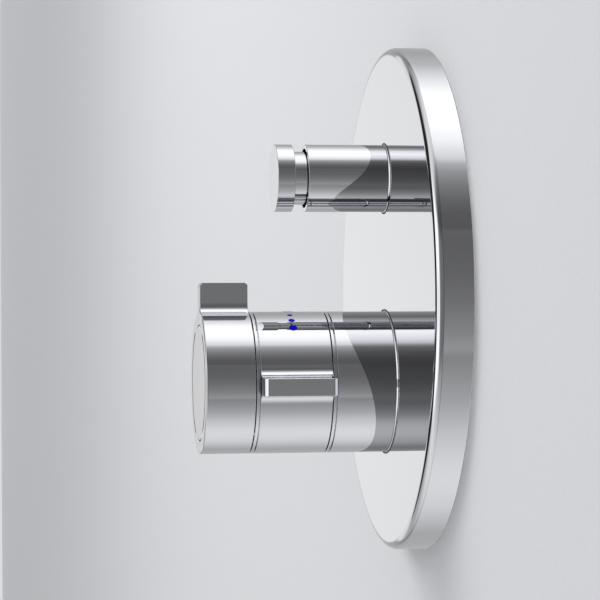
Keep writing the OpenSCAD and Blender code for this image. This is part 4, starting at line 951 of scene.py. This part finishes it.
# %% [markdown]
# Every value below is worked out from the direction alone, and each line lays one more part of
# the studio over what is there.

# %% World nodes
world = bpy.data.worlds.new("studio_light")
bpy.context.scene.world = world
world.use_nodes = True
tree = world.node_tree
tree.nodes.clear()
place = add_node(tree, "ShaderNodeTexCoord")
way = add_node(tree, "ShaderNodeSeparateXYZ", Vector=place.outputs["Generated"])
x, y, z = way.outputs
towards = times(tree, y, -1.0)
around_axis = angle_of(tree, z, x)
side_angle = angle_of(tree, x, towards)


def patch(angles, angle_soft, heights, height_soft):
    """Share of a patch on the user's side, from its side angles in degrees and its heights."""
    low, high = (math.radians(angle) for angle in angles)
    across = between(tree, side_angle, low, high, math.radians(angle_soft))
    return times(tree, across, between(tree, z, *heights, height_soft))


beside = angle_ramp(tree, around_axis, BESIDE)
in_front = angle_ramp(tree, around_axis, IN_FRONT)
front_start = stretch(tree, x, *FRONT_SIDES, *FRONT_STARTS)
around = blend(tree, stretch(tree, towards, front_start, FRONT_ENDS), beside, in_front)

above_and_below = times(tree, beside, stretch(tree, z, *DIM_HEIGHTS, 1.0, DIM_LEVEL))
eye_level = angle_ramp(tree, side_angle, EYE_LEVEL)
user_side = blend(tree, between(tree, z, *EYE_HEIGHTS, EYE_SOFT), above_and_below, eye_level)
flag = patch(FLAG_ANGLES, FLAG_SOFT, FLAG_HEIGHTS, FLAG_HEIGHT_SOFT)
user_side = blend(tree, flag, user_side, FLAG_LEVEL)
doorway = patch(DOOR_ANGLES, DOOR_SOFT, DOOR_HEIGHTS, DOOR_HEIGHT_SOFT)
user_side = blend(tree, doorway, user_side, DOOR_LEVEL)
studio = blend(tree, stretch(tree, towards, USER_STARTS, USER_ENDS, smooth=True), around, user_side)

slit = times(tree, between(tree, towards, *SLIT_RANGE, SLIT_SOFT),
             between(tree, x, *SLIT_SIDES, SLIT_SIDE_SOFT))
studio = blend(tree, slit, studio, SLIT_LEVEL)
studio = blend(tree, stretch(tree, y, WALL_STARTS, WALL_ENDS), studio, WALL_LEVEL)

# %% [markdown]
# Mirrors see that studio. Everything matt gets an even, plain light instead, and the camera sees
# a pale backdrop.

# %% Light paths
mirror_light = add_node(tree, "ShaderNodeBackground", Color=studio)
plain_light = add_node(tree, "ShaderNodeBackground", Color=linear("f4f4f5"), Strength=0.79)
pale_backdrop = add_node(tree, "ShaderNodeBackground", Color=linear("dcdde1"), Strength=1.0)
ray = add_node(tree, "ShaderNodeLightPath")
lit = add_node(tree, "ShaderNodeMixShader", _0=ray.outputs["Is Glossy Ray"], _1=plain_light.outputs[0],
               _2=mirror_light.outputs[0])
shown = add_node(tree, "ShaderNodeMixShader", _0=ray.outputs["Is Camera Ray"], _1=lit.outputs[0],
                 _2=pale_backdrop.outputs[0])
add_node(tree, "ShaderNodeOutputWorld", Surface=shown.outputs[0])

# %% [markdown]
# One large, weak area lamp from the upper left gives the plate its soft shadow on the wall. It
# doesn't show in mirrors, because the world already holds the softbox.

# %% Lamp
LAMP_PLACE = Vector((-0.55, -1.1, 0.95))
lamp = bpy.data.objects.new("soft_lamp", bpy.data.lights.new("soft_lamp", "AREA"))
lamp.data.shape = "DISK"
lamp.data.size = 0.9
lamp.data.energy = 9
lamp.visible_glossy = False
bpy.context.scene.collection.objects.link(lamp)
turned = (-LAMP_PLACE).to_track_quat("-Z", "Y").to_matrix().to_4x4()
lamp.matrix_world = Matrix.Translation(LAMP_PLACE) @ turned

# %% [markdown]
# The picture shows the scene's light as it is, with no tone curve.

# %% Colour management
bpy.context.scene.view_settings.view_transform = "Standard"
